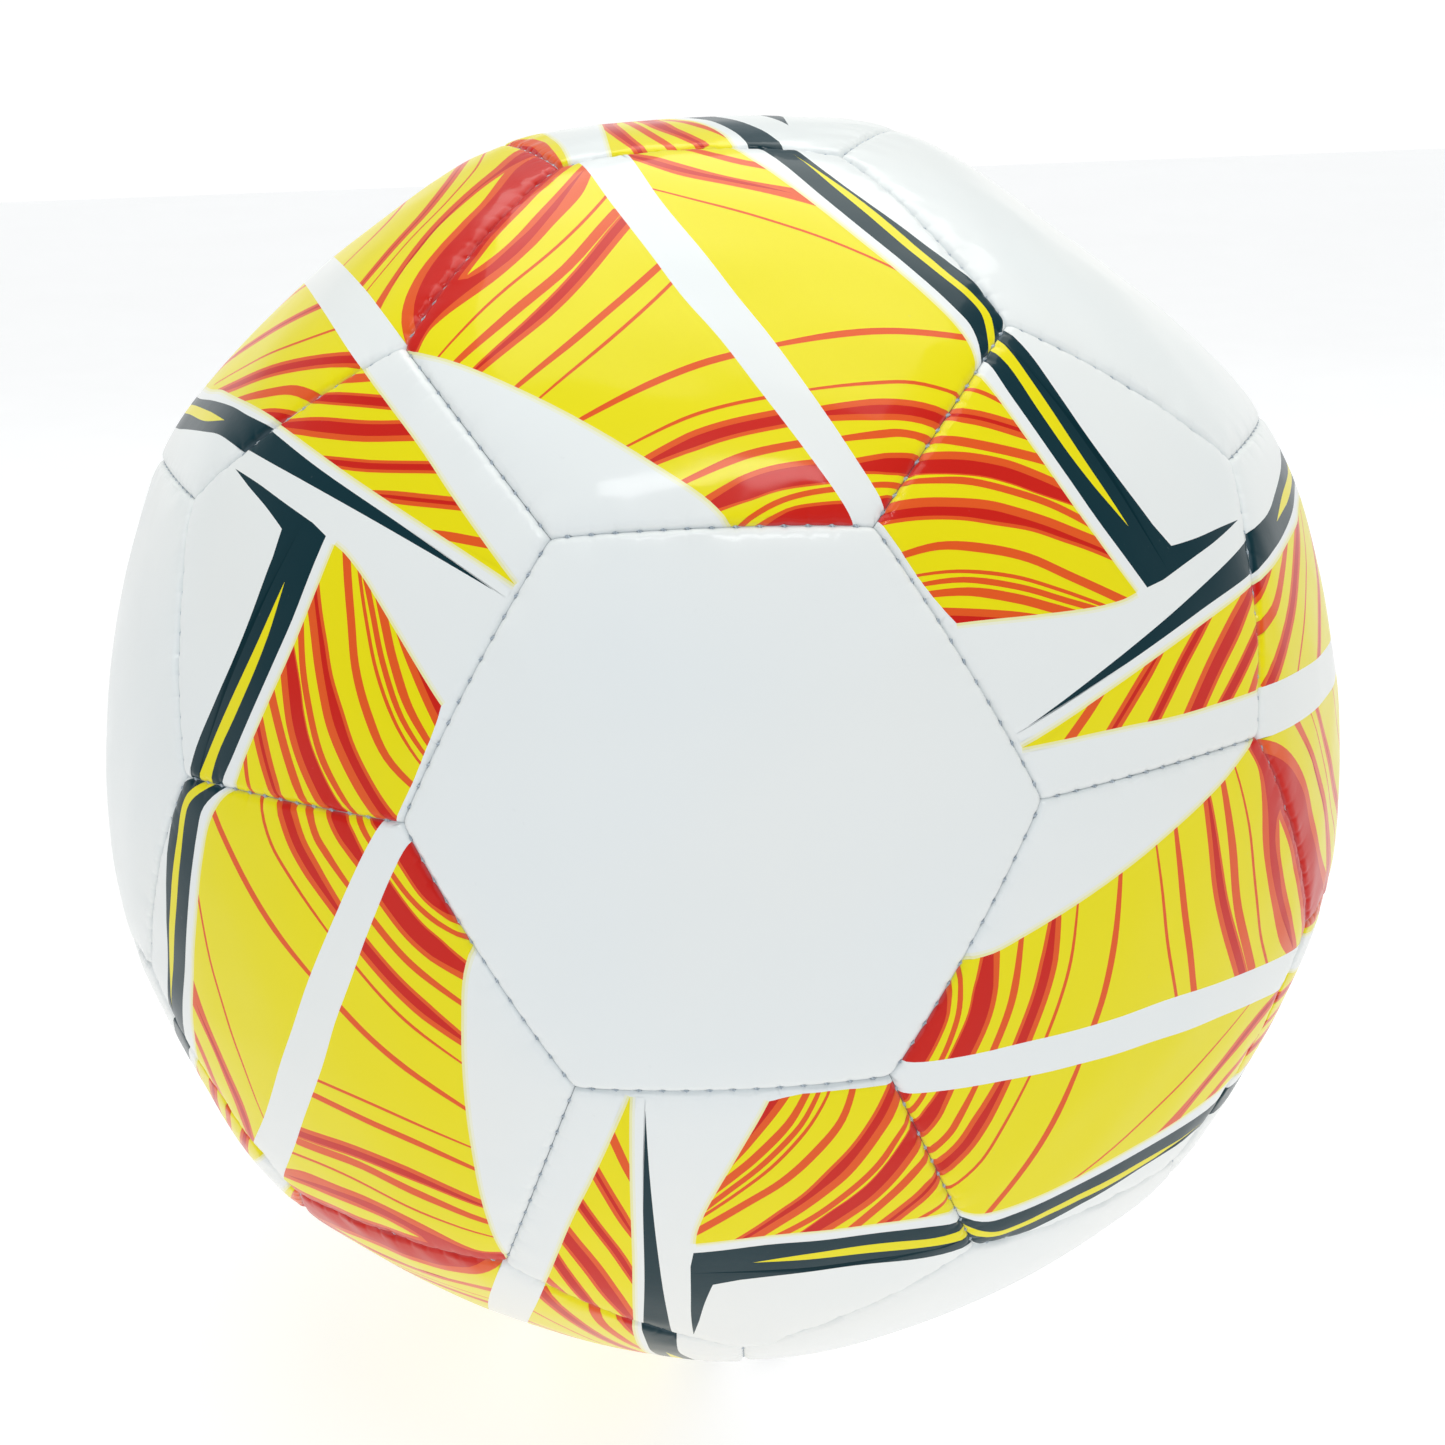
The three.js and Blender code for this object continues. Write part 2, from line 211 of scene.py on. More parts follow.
class Edge:
    """One side of a panel, on a plane through the ball's centre."""

    def __init__(self, axis, start, end):
        self.start, self.end = start, end
        self.inward = unit(np.cross(start, end))
        if self.inward @ axis < 0:
            self.inward = -self.inward
        self.middle = unit(start + end)
        self.along = unit(end - start)


def all_panels():
    panels = []
    for axis in PENTAGON_AXES:
        corners = [unit(2 * axis + other) for other in PENTAGON_AXES if near(axis, other)]
        panels.append(Panel(axis, corners, PENTAGON_FLATNESS))
    for i, a in enumerate(PENTAGON_AXES):
        for j, b in enumerate(PENTAGON_AXES[:i]):
            for c in PENTAGON_AXES[:j]:
                if near(a, b) and near(b, c) and near(a, c):
                    pairs = [(a, b), (b, a), (b, c), (c, b), (c, a), (a, c)]
                    corners = [unit(2 * p + q) for p, q in pairs]
                    panels.append(Panel(unit(a + b + c), corners, HEXAGON_FLATNESS))
    return panels


def name_panels(panels):
    """Each panel takes the name of the CAD node that looks the same way."""
    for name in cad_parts:
        if "_panel_" in name:
            facing = unit(coordinates(name).mean(0))
            panel = max(panels, key=lambda p: p.axis @ facing)
            panel.name = name


PANELS = all_panels()
name_panels(PANELS)
FRONT_PANEL = max(PANELS, key=lambda p: p.axis @ FRONT_AXIS)
SKIN_RADIUS = float((coordinates(FRONT_PANEL.name) @ FRONT_AXIS).max())
EDGE_LENGTH = SKIN_RADIUS * math.acos(FRONT_PANEL.corners[0] @ FRONT_PANEL.corners[1])
STITCH_PITCH = EDGE_LENGTH / STITCH_SPACES
FLOOR = cad_low.z / MM


# ---- the shape of the skin -------------------------------------------------------------
def stitch_pull(s):
    """1 at each stitch along a seam and 0 half-way between two, s from the seam's middle."""
    wave = (0.5 + 0.5 * np.cos(2 * math.pi * s / STITCH_PITCH)) ** STITCH_SHARPNESS
    last = STITCHES / 2 * STITCH_PITCH
    return wave * (np.abs(s) < last)


def from_edge(edge, q):
    """(distance in from an edge, place along it from its middle), for directions q."""
    inset = SKIN_RADIUS * np.arcsin(np.clip(q @ edge.inward, -1, 1))
    along = SKIN_RADIUS * np.arctan2(q @ edge.along, q @ edge.middle)
    return inset, along


def seam_drop(inset, along):
    """How far the skin lies below the panel's dome near one seam."""
    d = np.maximum(inset, 0)
    into_roll = np.clip(SEAM_ROLL - d, 0, SEAM_ROLL)
    roll = SEAM_ROLL_RADIUS - np.sqrt(SEAM_ROLL_RADIUS**2 - into_roll**2)
    slack = SEAM_SLACK_DROP * np.exp(-d / SEAM_SLACK_REACH)
    pull = STITCH_PULL * stitch_pull(along) * np.exp(-d / STITCH_PULL_REACH)
    return roll + slack + pull


def waves(points, seed, wavelength, count=PUCKER_WAVES):
    """Smooth unevenness from -1 to 1 or so, the same each run, at points in millimetres."""
    random = np.random.default_rng(seed)
    total = np.zeros(points.shape[:-1])
    for _ in range(count):
        heading = unit(random.normal(size=3)) * 2 * math.pi / wavelength * random.uniform(0.6, 1.4)
        total += np.sin(points @ heading + random.uniform(0, 2 * math.pi))
    return total / math.sqrt(count)


# Where the blown-up ball stands proud or slack: (azimuth, elevation, reach in degrees, height).
SWELLINGS = (
    (0, 88, 28, 1.1),
    (0, 73, 9, 1.3),
    (180, 73, 9, 1.2),
    (-4, 53, 11, -1.7),
    (-9, 28, 13, 1.2),
    (188, 35, 7, 0.9),
    (211, -31, 8, 1.5),
    (-35, -37, 6, 0.5),
)


def settle(q):
    """How far the blown-up ball stands off its drawn shape, in directions q."""
    height = SETTLING * waves(q * SKIN_RADIUS, SETTLING_SEED, SETTLING_LENGTH, SETTLING_WAVES)
    for azimuth, elevation, reach, swelling in SWELLINGS:
        centre = direction(math.radians(azimuth), math.radians(elevation))
        off = np.degrees(np.arccos(np.clip(q @ centre, -1, 1))) / reach
        height = height + swelling * np.exp(-off * off)
    return height


def skin_height(panel, q, seed):
    """Radius of the outer skin in directions q."""
    radius = SKIN_RADIUS * (1 - panel.flatness + panel.flatness / (q @ panel.axis))
    drops = []
    nearest = np.full(q.shape[:-1], 1e3)
    for edge in panel.edges:
        inset, along = from_edge(edge, q)
        drops.append(seam_drop(inset, along))
        nearest = np.minimum(nearest, np.maximum(inset, 0))
    radius = radius - np.sqrt(np.sum(np.square(drops), axis=0))
    pucker = waves(q * SKIN_RADIUS, seed, PUCKER_LENGTH) * np.exp(-nearest / PUCKER_REACH)
    pucker += 0.5 * waves(q * SKIN_RADIUS, seed + 1, BUMP_LENGTH)
    radius = radius + PUCKER * pucker * smoothstep(nearest, 0, PUCKER_CLEAR)
    if panel.axis is VALVE_AXIS:
        off_axis = SKIN_RADIUS * np.arccos(np.clip(q @ panel.axis, -1, 1))
        into_roll = np.clip(VALVE_HOLE_RADIUS + VALVE_HOLE_ROLL - off_axis, 0, VALVE_HOLE_ROLL)
        radius = radius - VALVE_HOLE_ROLL + np.sqrt(VALVE_HOLE_ROLL**2 - into_roll**2)
    return radius + settle(q)


def on_skin(panel, uv, seed):
    """Points of the outer skin at print coordinates, resting on the floor where they reach it."""
    q = panel.towards(uv)
    points = q * skin_height(panel, q, seed)[:, None]
    points[:, 2] = np.maximum(points[:, 2], FLOOR)
    return points


def skin_normals(panel, uv, seed):
    step = 2e-4
    over = on_skin(panel, uv + [step, 0], seed) - on_skin(panel, uv - [step, 0], seed)
    up = on_skin(panel, uv + [0, step], seed) - on_skin(panel, uv - [0, step], seed)
    return unit(np.cross(over, up))


# ---- flat meshes that follow the print's edges -----------------------------------------
def inside(points, outline):
    """Which points lie inside a closed outline, by the even-odd rule."""
    start = np.asarray(outline)
    end = np.roll(start, -1, axis=0)
    found = np.zeros(len(points), bool)
    x, y = points[:, 0], points[:, 1]
    for (x0, y0), (x1, y1) in zip(start, end):
        if y0 != y1:
            crosses = (y0 > y) != (y1 > y)
            found ^= crosses & (x < x0 + (y - y0) * (x1 - x0) / (y1 - y0))
    return found


def flat_mesh(loops, dots, outlines=()):
    """Triangles between closed loops, first the outer one and then holes, through dots and
    along the outlines. Returns (points, triangles, the loops as lists of point numbers)."""
    points, edges = [], []
    for chain in [*loops, *outlines]:
        first = len(points)
        points += [tuple(p) for p in chain]
        edges += [(first + i, first + (i + 1) % len(chain)) for i in range(len(chain))]
    points += [tuple(p) for p in dots]
    beyond = 3 * np.abs(loops[0]).max()
    points += [(-beyond, -beyond), (beyond, -beyond), (beyond, beyond), (-beyond, beyond)]
    made = delaunay_2d_cdt([Vector(p) for p in points], edges, [], 0, 1e-7)
    flat = np.array([tuple(p) for p in made[0]])
    triangles = np.array(made[2])
    middles = flat[triangles].mean(1)
    keep = inside(middles, loops[0])
    for hole in loops[1:]:
        keep &= ~inside(middles, hole)
    corner = flat[triangles]
    side, other = corner[:, 1] - corner[:, 0], corner[:, 2] - corner[:, 0]
    area = side[:, 0] * other[:, 1] - side[:, 1] * other[:, 0]
    triangles[area < 0] = triangles[area < 0][:, ::-1]
    triangles = triangles[keep]
    used, triangles = np.unique(triangles, return_inverse=True)
    triangles = triangles.reshape(-1, 3)
    return flat[used], triangles, rim_loops(triangles)


def rim_loops(triangles):
    """The rims of a sheet of triangles, longest first, each with the sheet on its left."""
    sides = {(int(a), int(b)) for t in triangles for a, b in zip(t, np.roll(t, -1))}
    following = {a: b for a, b in sides if (b, a) not in sides}
    rims = []
    while following:
        start = next(iter(following))
        rim, at = [], start
        while at in following:
            rim.append(at)
            at = following.pop(at)
        rims.append(rim)
    return sorted(rims, key=len, reverse=True)


def dot_grid(spacing, reach):
    """Points on a triangular grid, within reach of the middle."""
    rows = int(reach / spacing) + 2
    dots = []
    for j in range(-rows, rows + 1):
        for i in range(-rows, rows + 1):
            dots.append(((i + 0.5 * (j % 2)) * spacing, j * spacing * math.sqrt(0.75)))
    return np.array(dots)


# ---- the print: curves, fields, streaks and edges, in a panel's flat frame --------------
FAR = 1.3  # well outside a panel's outline
CURVE_STEPS = 5  # from one point of a curve to the next


def curve(*points):
    """A smooth line through a few points."""
    p = np.array([points[0], *points, points[-1]], float)
    line = []
    for i in range(1, len(p) - 2):
        for t in np.arange(CURVE_STEPS) / CURVE_STEPS:
            a = 2 * p[i] + (p[i + 1] - p[i - 1]) * t
            b = (2 * p[i - 1] - 5 * p[i] + 4 * p[i + 1] - p[i + 2]) * t * t
            c = (3 * p[i] - p[i - 1] - 3 * p[i + 1] + p[i + 2]) * t**3
            line.append(0.5 * (a + b + c))
    return np.array([*line, p[-1]])


def sideways(line):
    """Unit steps to the left of a line, at each of its points."""
    tangent = unit(np.gradient(line, axis=0))
    return np.stack([-tangent[:, 1], tangent[:, 0]], -1)


def field(ink, *lines):
    """A patch whose outline runs along the lines in turn."""
    return [(ink, np.concatenate(lines))]


def ground(ink):
    """A patch over the whole panel."""
    return field(ink, [(-FAR, -FAR), (FAR, -FAR), (FAR, FAR), (-FAR, FAR)])


STREAK_TIP = 0.6  # width at a streak's start, as a share of its full width
CORE_TIP = 0.25
TIP_LENGTH = 0.35  # share of a streak's length over which it widens


def ribbon(ink, line, width, tip, shift=0.0):
    """A stroke along a line, widening from its start."""
    t = np.linspace(0, 1, len(line))[:, None]
    half = width / 2 * np.clip(tip + (1 - tip) * t / TIP_LENGTH, tip, 1)
    side = sideways(line)
    return [(ink, np.concatenate([line + side * (half + shift), (line - side * (half - shift))[::-1]]))]


def streak(width, core, lean, *points):
    """A printed streak: orange, with a red core of a share of its width, leaning to one side."""
    line = curve(*points)
    made = ribbon("orange", line, width, STREAK_TIP)
    if core:
        made += ribbon("red", line, width * core, CORE_TIP, width * lean)
    return made


def streaks(*rows):
    return [shape for row in rows for shape in streak(*row)]


def bar(left, right, left_rim, right_rim):
    """A wide streak between two lines: red, with an orange rim along each of them."""
    inner_left = left - sideways(left) * left_rim
    inner_right = right + sideways(right) * right_rim
    return field("orange", left, right[::-1]) + field("red", inner_left, inner_right[::-1])


FRINGE = 0.020  # width of the soft yellow edge of a yellow field


def fringe(line, side):
    """The soft edge of a yellow field, on the white beside it: side 1 is left of the line."""
    made = []
    for share, ink in ((1.0, "yellow_haze"), (0.5, "yellow_mist")):
        offset = line + sideways(line) * side * FRINGE * share
        made.append((ink, np.concatenate([line, offset[::-1]])))
    return made


def print_flame():
    """Hexagons next to the plain front and back ones: streaks, a white band and a flame."""
    wedge = curve((-1.03, 0.015), (-0.93, -0.06), (-0.783, -0.156), (-0.589, -0.299), (-0.378, -0.463),
                  (-0.148, -0.655), (0.0, -0.785), (0.08, -0.9))
    band_left = curve((-0.46, 0.94), (-0.401, 0.8), (-0.3, 0.52), (-0.2, 0.28), (-0.071, 0),
                      (0.045, -0.2), (0.158, -0.4), (0.278, -0.6), (0.4, -0.8), (0.45, -0.9))
    band_right = curve((-0.27, 0.94), (-0.205, 0.705), (-0.13, 0.48), (-0.03, 0.25), (0.085, 0.01),
                       (0.196, -0.195), (0.303, -0.395), (0.414, -0.595), (0.529, -0.8), (0.56, -0.9))
    right = curve((0.06, 0.94), (0.16, 0.75), (0.24, 0.625), (0.36, 0.445), (0.48, 0.285), (0.6, 0.14),
                  (0.69, 0.04), (0.785, -0.07), (0.84, -0.17), (0.86, -0.27))
    dark_left = curve((0.16, 0.93), (0.33, 0.605), (0.465, 0.39), (0.65, 0.16), (0.785, 0.01),
                      (0.855, -0.08), (0.885, -0.22))
    dark_right = curve((0.3, 0.93), (0.39, 0.715), (0.53, 0.51), (0.7, 0.33), (0.84, 0.2),
                       (0.93, 0.115), (0.98, 0.04), (0.975, -0.06))
    shapes = ground("yellow")
    shapes += streaks(
        (0.014, 0, 0, (-0.86, -0.12), (-0.69, 0.055), (-0.51, 0.225), (-0.385, 0.38), (-0.29, 0.56)),
        (0.042, 0, 0, (-0.8, -0.17), (-0.6, 0.0), (-0.42, 0.17), (-0.26, 0.44)),
        (0.065, 0.5, 0.1, (-0.72, -0.22), (-0.5, -0.03), (-0.37, 0.13), (-0.22, 0.4)),
        (0.028, 0, 0, (-0.58, -0.31), (-0.415, -0.176), (-0.27, -0.033), (-0.11, 0.15)),
        (0.013, 0, 0, (-0.51, -0.37), (-0.333, -0.217), (-0.2, -0.084), (-0.07, 0.08)),
        (0.026, 0, 0, (-0.39, -0.47), (-0.178, -0.36), (-0.025, -0.294), (0.12, -0.25)),
        (0.013, 0, 0, (-0.25, -0.58), (-0.076, -0.494), (0.057, -0.448), (0.2, -0.415)),
        (0.07, 0.5, -0.05, (-0.19, -0.64), (-0.05, -0.575), (0.08, -0.53), (0.25, -0.49)),
        (0.028, 0, 0, (-0.1, -0.725), (0.057, -0.648), (0.16, -0.612), (0.31, -0.58)),
        (0.092, 0.72, -0.06, (-0.03, -0.81), (0.1, -0.745), (0.21, -0.705), (0.38, -0.68)),
        (0.02, 0, 0, (0.04, -0.9), (0.17, -0.807), (0.28, -0.763), (0.42, -0.74)),
        (0.1, 0.85, -0.04, (0.08, -0.93), (0.24, -0.86), (0.34, -0.84), (0.5, -0.83)),
        (0.027, 0, 0, (0.18, -0.23), (0.386, -0.176), (0.59, -0.14), (0.85, -0.12)),
        (0.014, 0, 0, (0.26, -0.4), (0.488, -0.356), (0.632, -0.338), (0.8, -0.36)),
        (0.082, 0.42, 0, (0.3, -0.485), (0.488, -0.457), (0.62, -0.448), (0.8, -0.47)),
        (0.03, 0, 0, (0.36, -0.575), (0.51, -0.546), (0.6, -0.535), (0.75, -0.555)),
        (0.078, 0.65, -0.06, (0.4, -0.67), (0.53, -0.65), (0.62, -0.643), (0.7, -0.65)),
        (0.022, 0, 0, (0.45, -0.735), (0.54, -0.722), (0.66, -0.72)),
        (0.06, 0.7, 0, (0.48, -0.8), (0.56, -0.785), (0.64, -0.78)),
        (0.04, 0, 0, (-0.13, 0.93), (-0.01, 0.82), (0.118, 0.72), (0.26, 0.66)),
        (0.011, 0, 0, (-0.18, 0.56), (0, 0.45), (0.2, 0.345), (0.4, 0.25), (0.64, 0.12)),
    )
    arm_low = curve((-0.24, 0.79), (-0.15, 0.69), (-0.05, 0.61), (0.1, 0.54), (0.22, 0.49), (0.4, 0.42))
    arm_high = curve(
        (-0.32, 0.99), (-0.24, 0.875), (-0.1, 0.738), (0, 0.66), (0.1, 0.6), (0.22, 0.555), (0.38, 0.52)
    )
    arm_core = [curve((-0.3, 0.93), (-0.2, 0.8), (-0.08, 0.69), (0.05, 0.61), (0.3, 0.5)),
                curve((0.1, 0.565), (-0.04, 0.63), (-0.15, 0.71), (-0.24, 0.82))]
    shapes += field("orange", arm_high, arm_low[::-1]) + field("red", *arm_core)
    flame = [curve((-1.1, 0.3), (-0.9, 0.7), (-0.55, 1.0), (-0.44, 0.857), (-0.485, 0.74), (-0.56, 0.605),
                   (-0.64, 0.47), (-0.71, 0.355), (-0.765, 0.245)),
             curve((-0.71, 0.28), (-0.645, 0.335), (-0.58, 0.425), (-0.51, 0.55), (-0.455, 0.66),
                   (-0.39, 0.83)),
             curve((-0.36, 0.7), (-0.39, 0.56), (-0.475, 0.405), (-0.55, 0.29), (-0.67, 0.165),
                   (-0.845, 0.055), (-0.905, 0.0), (-0.96, -0.12))]
    flame_core = [curve((-1.1, 0.3), (-0.9, 0.7), (-0.57, 1.0), (-0.475, 0.86), (-0.59, 0.61),
                        (-0.72, 0.39), (-0.80, 0.235)),
                  curve((-0.76, 0.225), (-0.69, 0.255), (-0.6, 0.355), (-0.52, 0.47), (-0.39, 0.75)),
                  curve((-0.47, 0.5), (-0.545, 0.355), (-0.63, 0.25), (-0.79, 0.13), (-0.89, 0.045),
                        (-0.96, -0.08))]
    shapes += field("orange", *flame) + field("red", *flame_core)
    shapes += field("white", wedge, [(-0.2, -FAR), (-FAR, -FAR), (-FAR, 0.0)]) + fringe(wedge, -1)
    shapes += field("white", band_left, band_right[::-1])
    shapes += field("white", right, [(FAR, -0.4), (FAR, FAR), (0.12, FAR)]) + fringe(right, 1)
    shapes += field("dark", dark_left, dark_right[::-1])
    shapes += field(
        "yellow",
        curve((0.313, 0.805), (0.436, 0.57), (0.604, 0.325), (0.745, 0.16), (0.85, 0.06), (0.9, -0.02),
              (0.912, -0.16)),
        curve((0.942, -0.12), (0.932, -0.005), (0.88, 0.078), (0.79, 0.165), (0.655, 0.325), (0.468, 0.57)),
    )
    return shapes


def print_beside_front():
    """Pentagons next to the plain front and back hexagons: a yellow field, dark bars and a wedge."""
    top = curve((-1.0, 0.0), (-0.86, -0.015), (-0.6, -0.04), (-0.4, -0.048), (-0.2, -0.046), (0, -0.03),
                (0.16, -0.005))
    right = curve((0.16, -0.005), (0.15, -0.08), (0.115, -0.2), (0.06, -0.34), (-0.01, -0.5),
                  (-0.07, -0.63), (-0.13, -0.76))
    foot = curve((-0.13, -0.76), (-0.3, -0.785), (-0.7, -0.785))
    shapes = ground("white")
    shapes += field("yellow", top, right[1:], foot[1:], [(-FAR, -0.785), (-FAR, 0.0)])
    shapes += streaks(
        (0.022, 0, 0, (-0.85, -0.135), (-0.8, -0.095), (-0.75, -0.06), (-0.66, -0.01)),
        (0.068, 0.25, 0, (-0.82, -0.31), (-0.76, -0.24), (-0.68, -0.155), (-0.56, -0.04), (-0.5, 0.02)),
        (0.04, 0, 0, (-0.78, -0.47), (-0.7, -0.355), (-0.6, -0.235), (-0.43, -0.045), (-0.37, 0.02)),
        (0.03, 0, 0, (-0.68, -0.66), (-0.6, -0.513), (-0.51, -0.37), (-0.376, -0.225), (-0.26, -0.117),
         (-0.1, 0)),
        (0.036, 0, 0, (-0.45, -0.83), (-0.39, -0.648), (-0.29, -0.495), (-0.17, -0.355), (-0.02, -0.23),
         (0.2, -0.04)),
        (0.015, 0, 0, (-0.37, -0.83), (-0.277, -0.639), (-0.151, -0.459), (-0.016, -0.315), (0.16, -0.14)),
        (0.024, 0, 0, (-0.33, -0.83), (-0.241, -0.639), (-0.106, -0.459), (0.029, -0.315), (0.14, -0.19)),
        (0.036, 0, 0, (-0.29, -0.83), (-0.196, -0.648), (-0.079, -0.495), (0.011, -0.396), (0.09, -0.31)),
    )
    shapes += bar(
        curve((-0.76, -0.55), (-0.678, -0.414), (-0.601, -0.297), (-0.511, -0.189), (-0.421, -0.108),
              (-0.29, 0.0)),
        curve((-0.7, -0.66), (-0.628, -0.513), (-0.511, -0.333), (-0.421, -0.234), (-0.331, -0.153),
              (-0.18, 0.0)),
        0.032, 0.006,
    )
    shapes += bar(
        curve((-0.66, -0.78), (-0.583, -0.621), (-0.511, -0.495), (-0.421, -0.36), (-0.331, -0.261),
              (-0.241, -0.171), (-0.151, -0.09), (-0.03, 0.02)),
        curve((-0.59, -0.83), (-0.511, -0.666), (-0.421, -0.513), (-0.331, -0.396), (-0.241, -0.279),
              (-0.151, -0.189), (-0.061, -0.099), (0.08, 0.03)),
        0.036, 0.015,
    )
    shapes += bar(
        curve((-0.24, -0.83), (-0.205, -0.774), (-0.106, -0.621), (-0.034, -0.513), (0.05, -0.4)),
        curve((-0.15, -0.83), (-0.09, -0.72), (0.0, -0.56), (0.08, -0.45)),
        0.028, 0.0,
    )
    shapes += field("white", right, foot[1:3], [(0.0, -FAR), (0.4, -FAR), (0.4, -0.005)])
    shapes += field("white", foot, [(-0.7, -FAR), (-0.13, -FAR)])
    shapes += field("white", top, [(0.3, 0.03), (0.3, 0.2), (-FAR, 0.2), (-FAR, 0.0)])
    shapes += fringe(top, 1) + fringe(right, 1)
    shapes += field(
        "dark",
        curve((-1.0, 0.08), (-0.85, 0.062), (-0.7, 0.032), (-0.5, 0.015), (-0.3, 0.012), (-0.1, 0.018),
              (0.17, 0.055)),
        curve((0.185, 0.15), (0.192, 0.35), (0.2, 0.55), (0.2, 0.765)),
        curve((0.17, 0.6), (0.145, 0.45), (0.12, 0.34), (0.105, 0.285)),
        curve((0, 0.255), (-0.2, 0.228), (-0.4, 0.22), (-0.6, 0.232), (-0.8, 0.258), (-1.0, 0.27)),
    )
    shapes += field(
        "yellow",
        curve((-1.0, 0.21), (-0.88, 0.195), (-0.7, 0.165), (-0.5, 0.143), (-0.3, 0.133), (-0.05, 0.134)),
        curve((-0.16, 0.11), (-0.26, 0.094), (-0.42, 0.085), (-0.6, 0.095), (-0.8, 0.125), (-1.0, 0.13)),
    )
    spike_left = curve((0.29, 0.9), (0.292, 0.6), (0.3, 0.25), (0.31, -0.2), (0.318, -0.734))
    spike_right = curve((0.347, -0.2), (0.366, 0.25), (0.397, 0.63), (0.42, 0.9))
    shapes += field("dark", spike_left, spike_right)
    wedge_left = curve((0.45, 0.8), (0.43, 0.5), (0.41, 0.2), (0.4, 0), (0.39, -0.3), (0.375, -0.79))
    wedge_right = curve(
        (0.45, -0.58), (0.535, -0.345), (0.62, -0.12), (0.7, 0.13), (0.79, 0.42), (0.83, 0.55)
    )
    shapes += field("yellow", wedge_left, wedge_right, [(0.8, 0.9)])
    shapes += streaks(
        (0.09, 0.55, 0.05, (0.42, 0.72), (0.5, 0.42), (0.58, 0.16), (0.71, -0.13)),
        (0.05, 0.5, 0, (0.38, 0.36), (0.47, 0.05), (0.62, -0.3)),
        (0.05, 0.3, 0, (0.38, -0.02), (0.45, -0.23), (0.55, -0.5)),
        (0.035, 0, 0, (0.37, -0.35), (0.42, -0.52), (0.47, -0.68)),
        (0.06, 0.6, 0, (0.57, 0.68), (0.65, 0.36), (0.75, 0.04)),
        (0.045, 0, 0, (0.68, 0.6), (0.74, 0.4), (0.82, 0.22)),
    )
    shapes += field("white", wedge_left, [(0.318, -0.79)], spike_right)
    shapes += field("dark", spike_left, spike_right)
    shapes += field("white", [(0.375, -0.79)], wedge_right, [(FAR, 0.55), (FAR, -0.6), (0.37, -0.9)])
    shapes += fringe(wedge_left, -1) + fringe(np.concatenate([[(0.375, -0.79)], wedge_right]), -1)
    return shapes


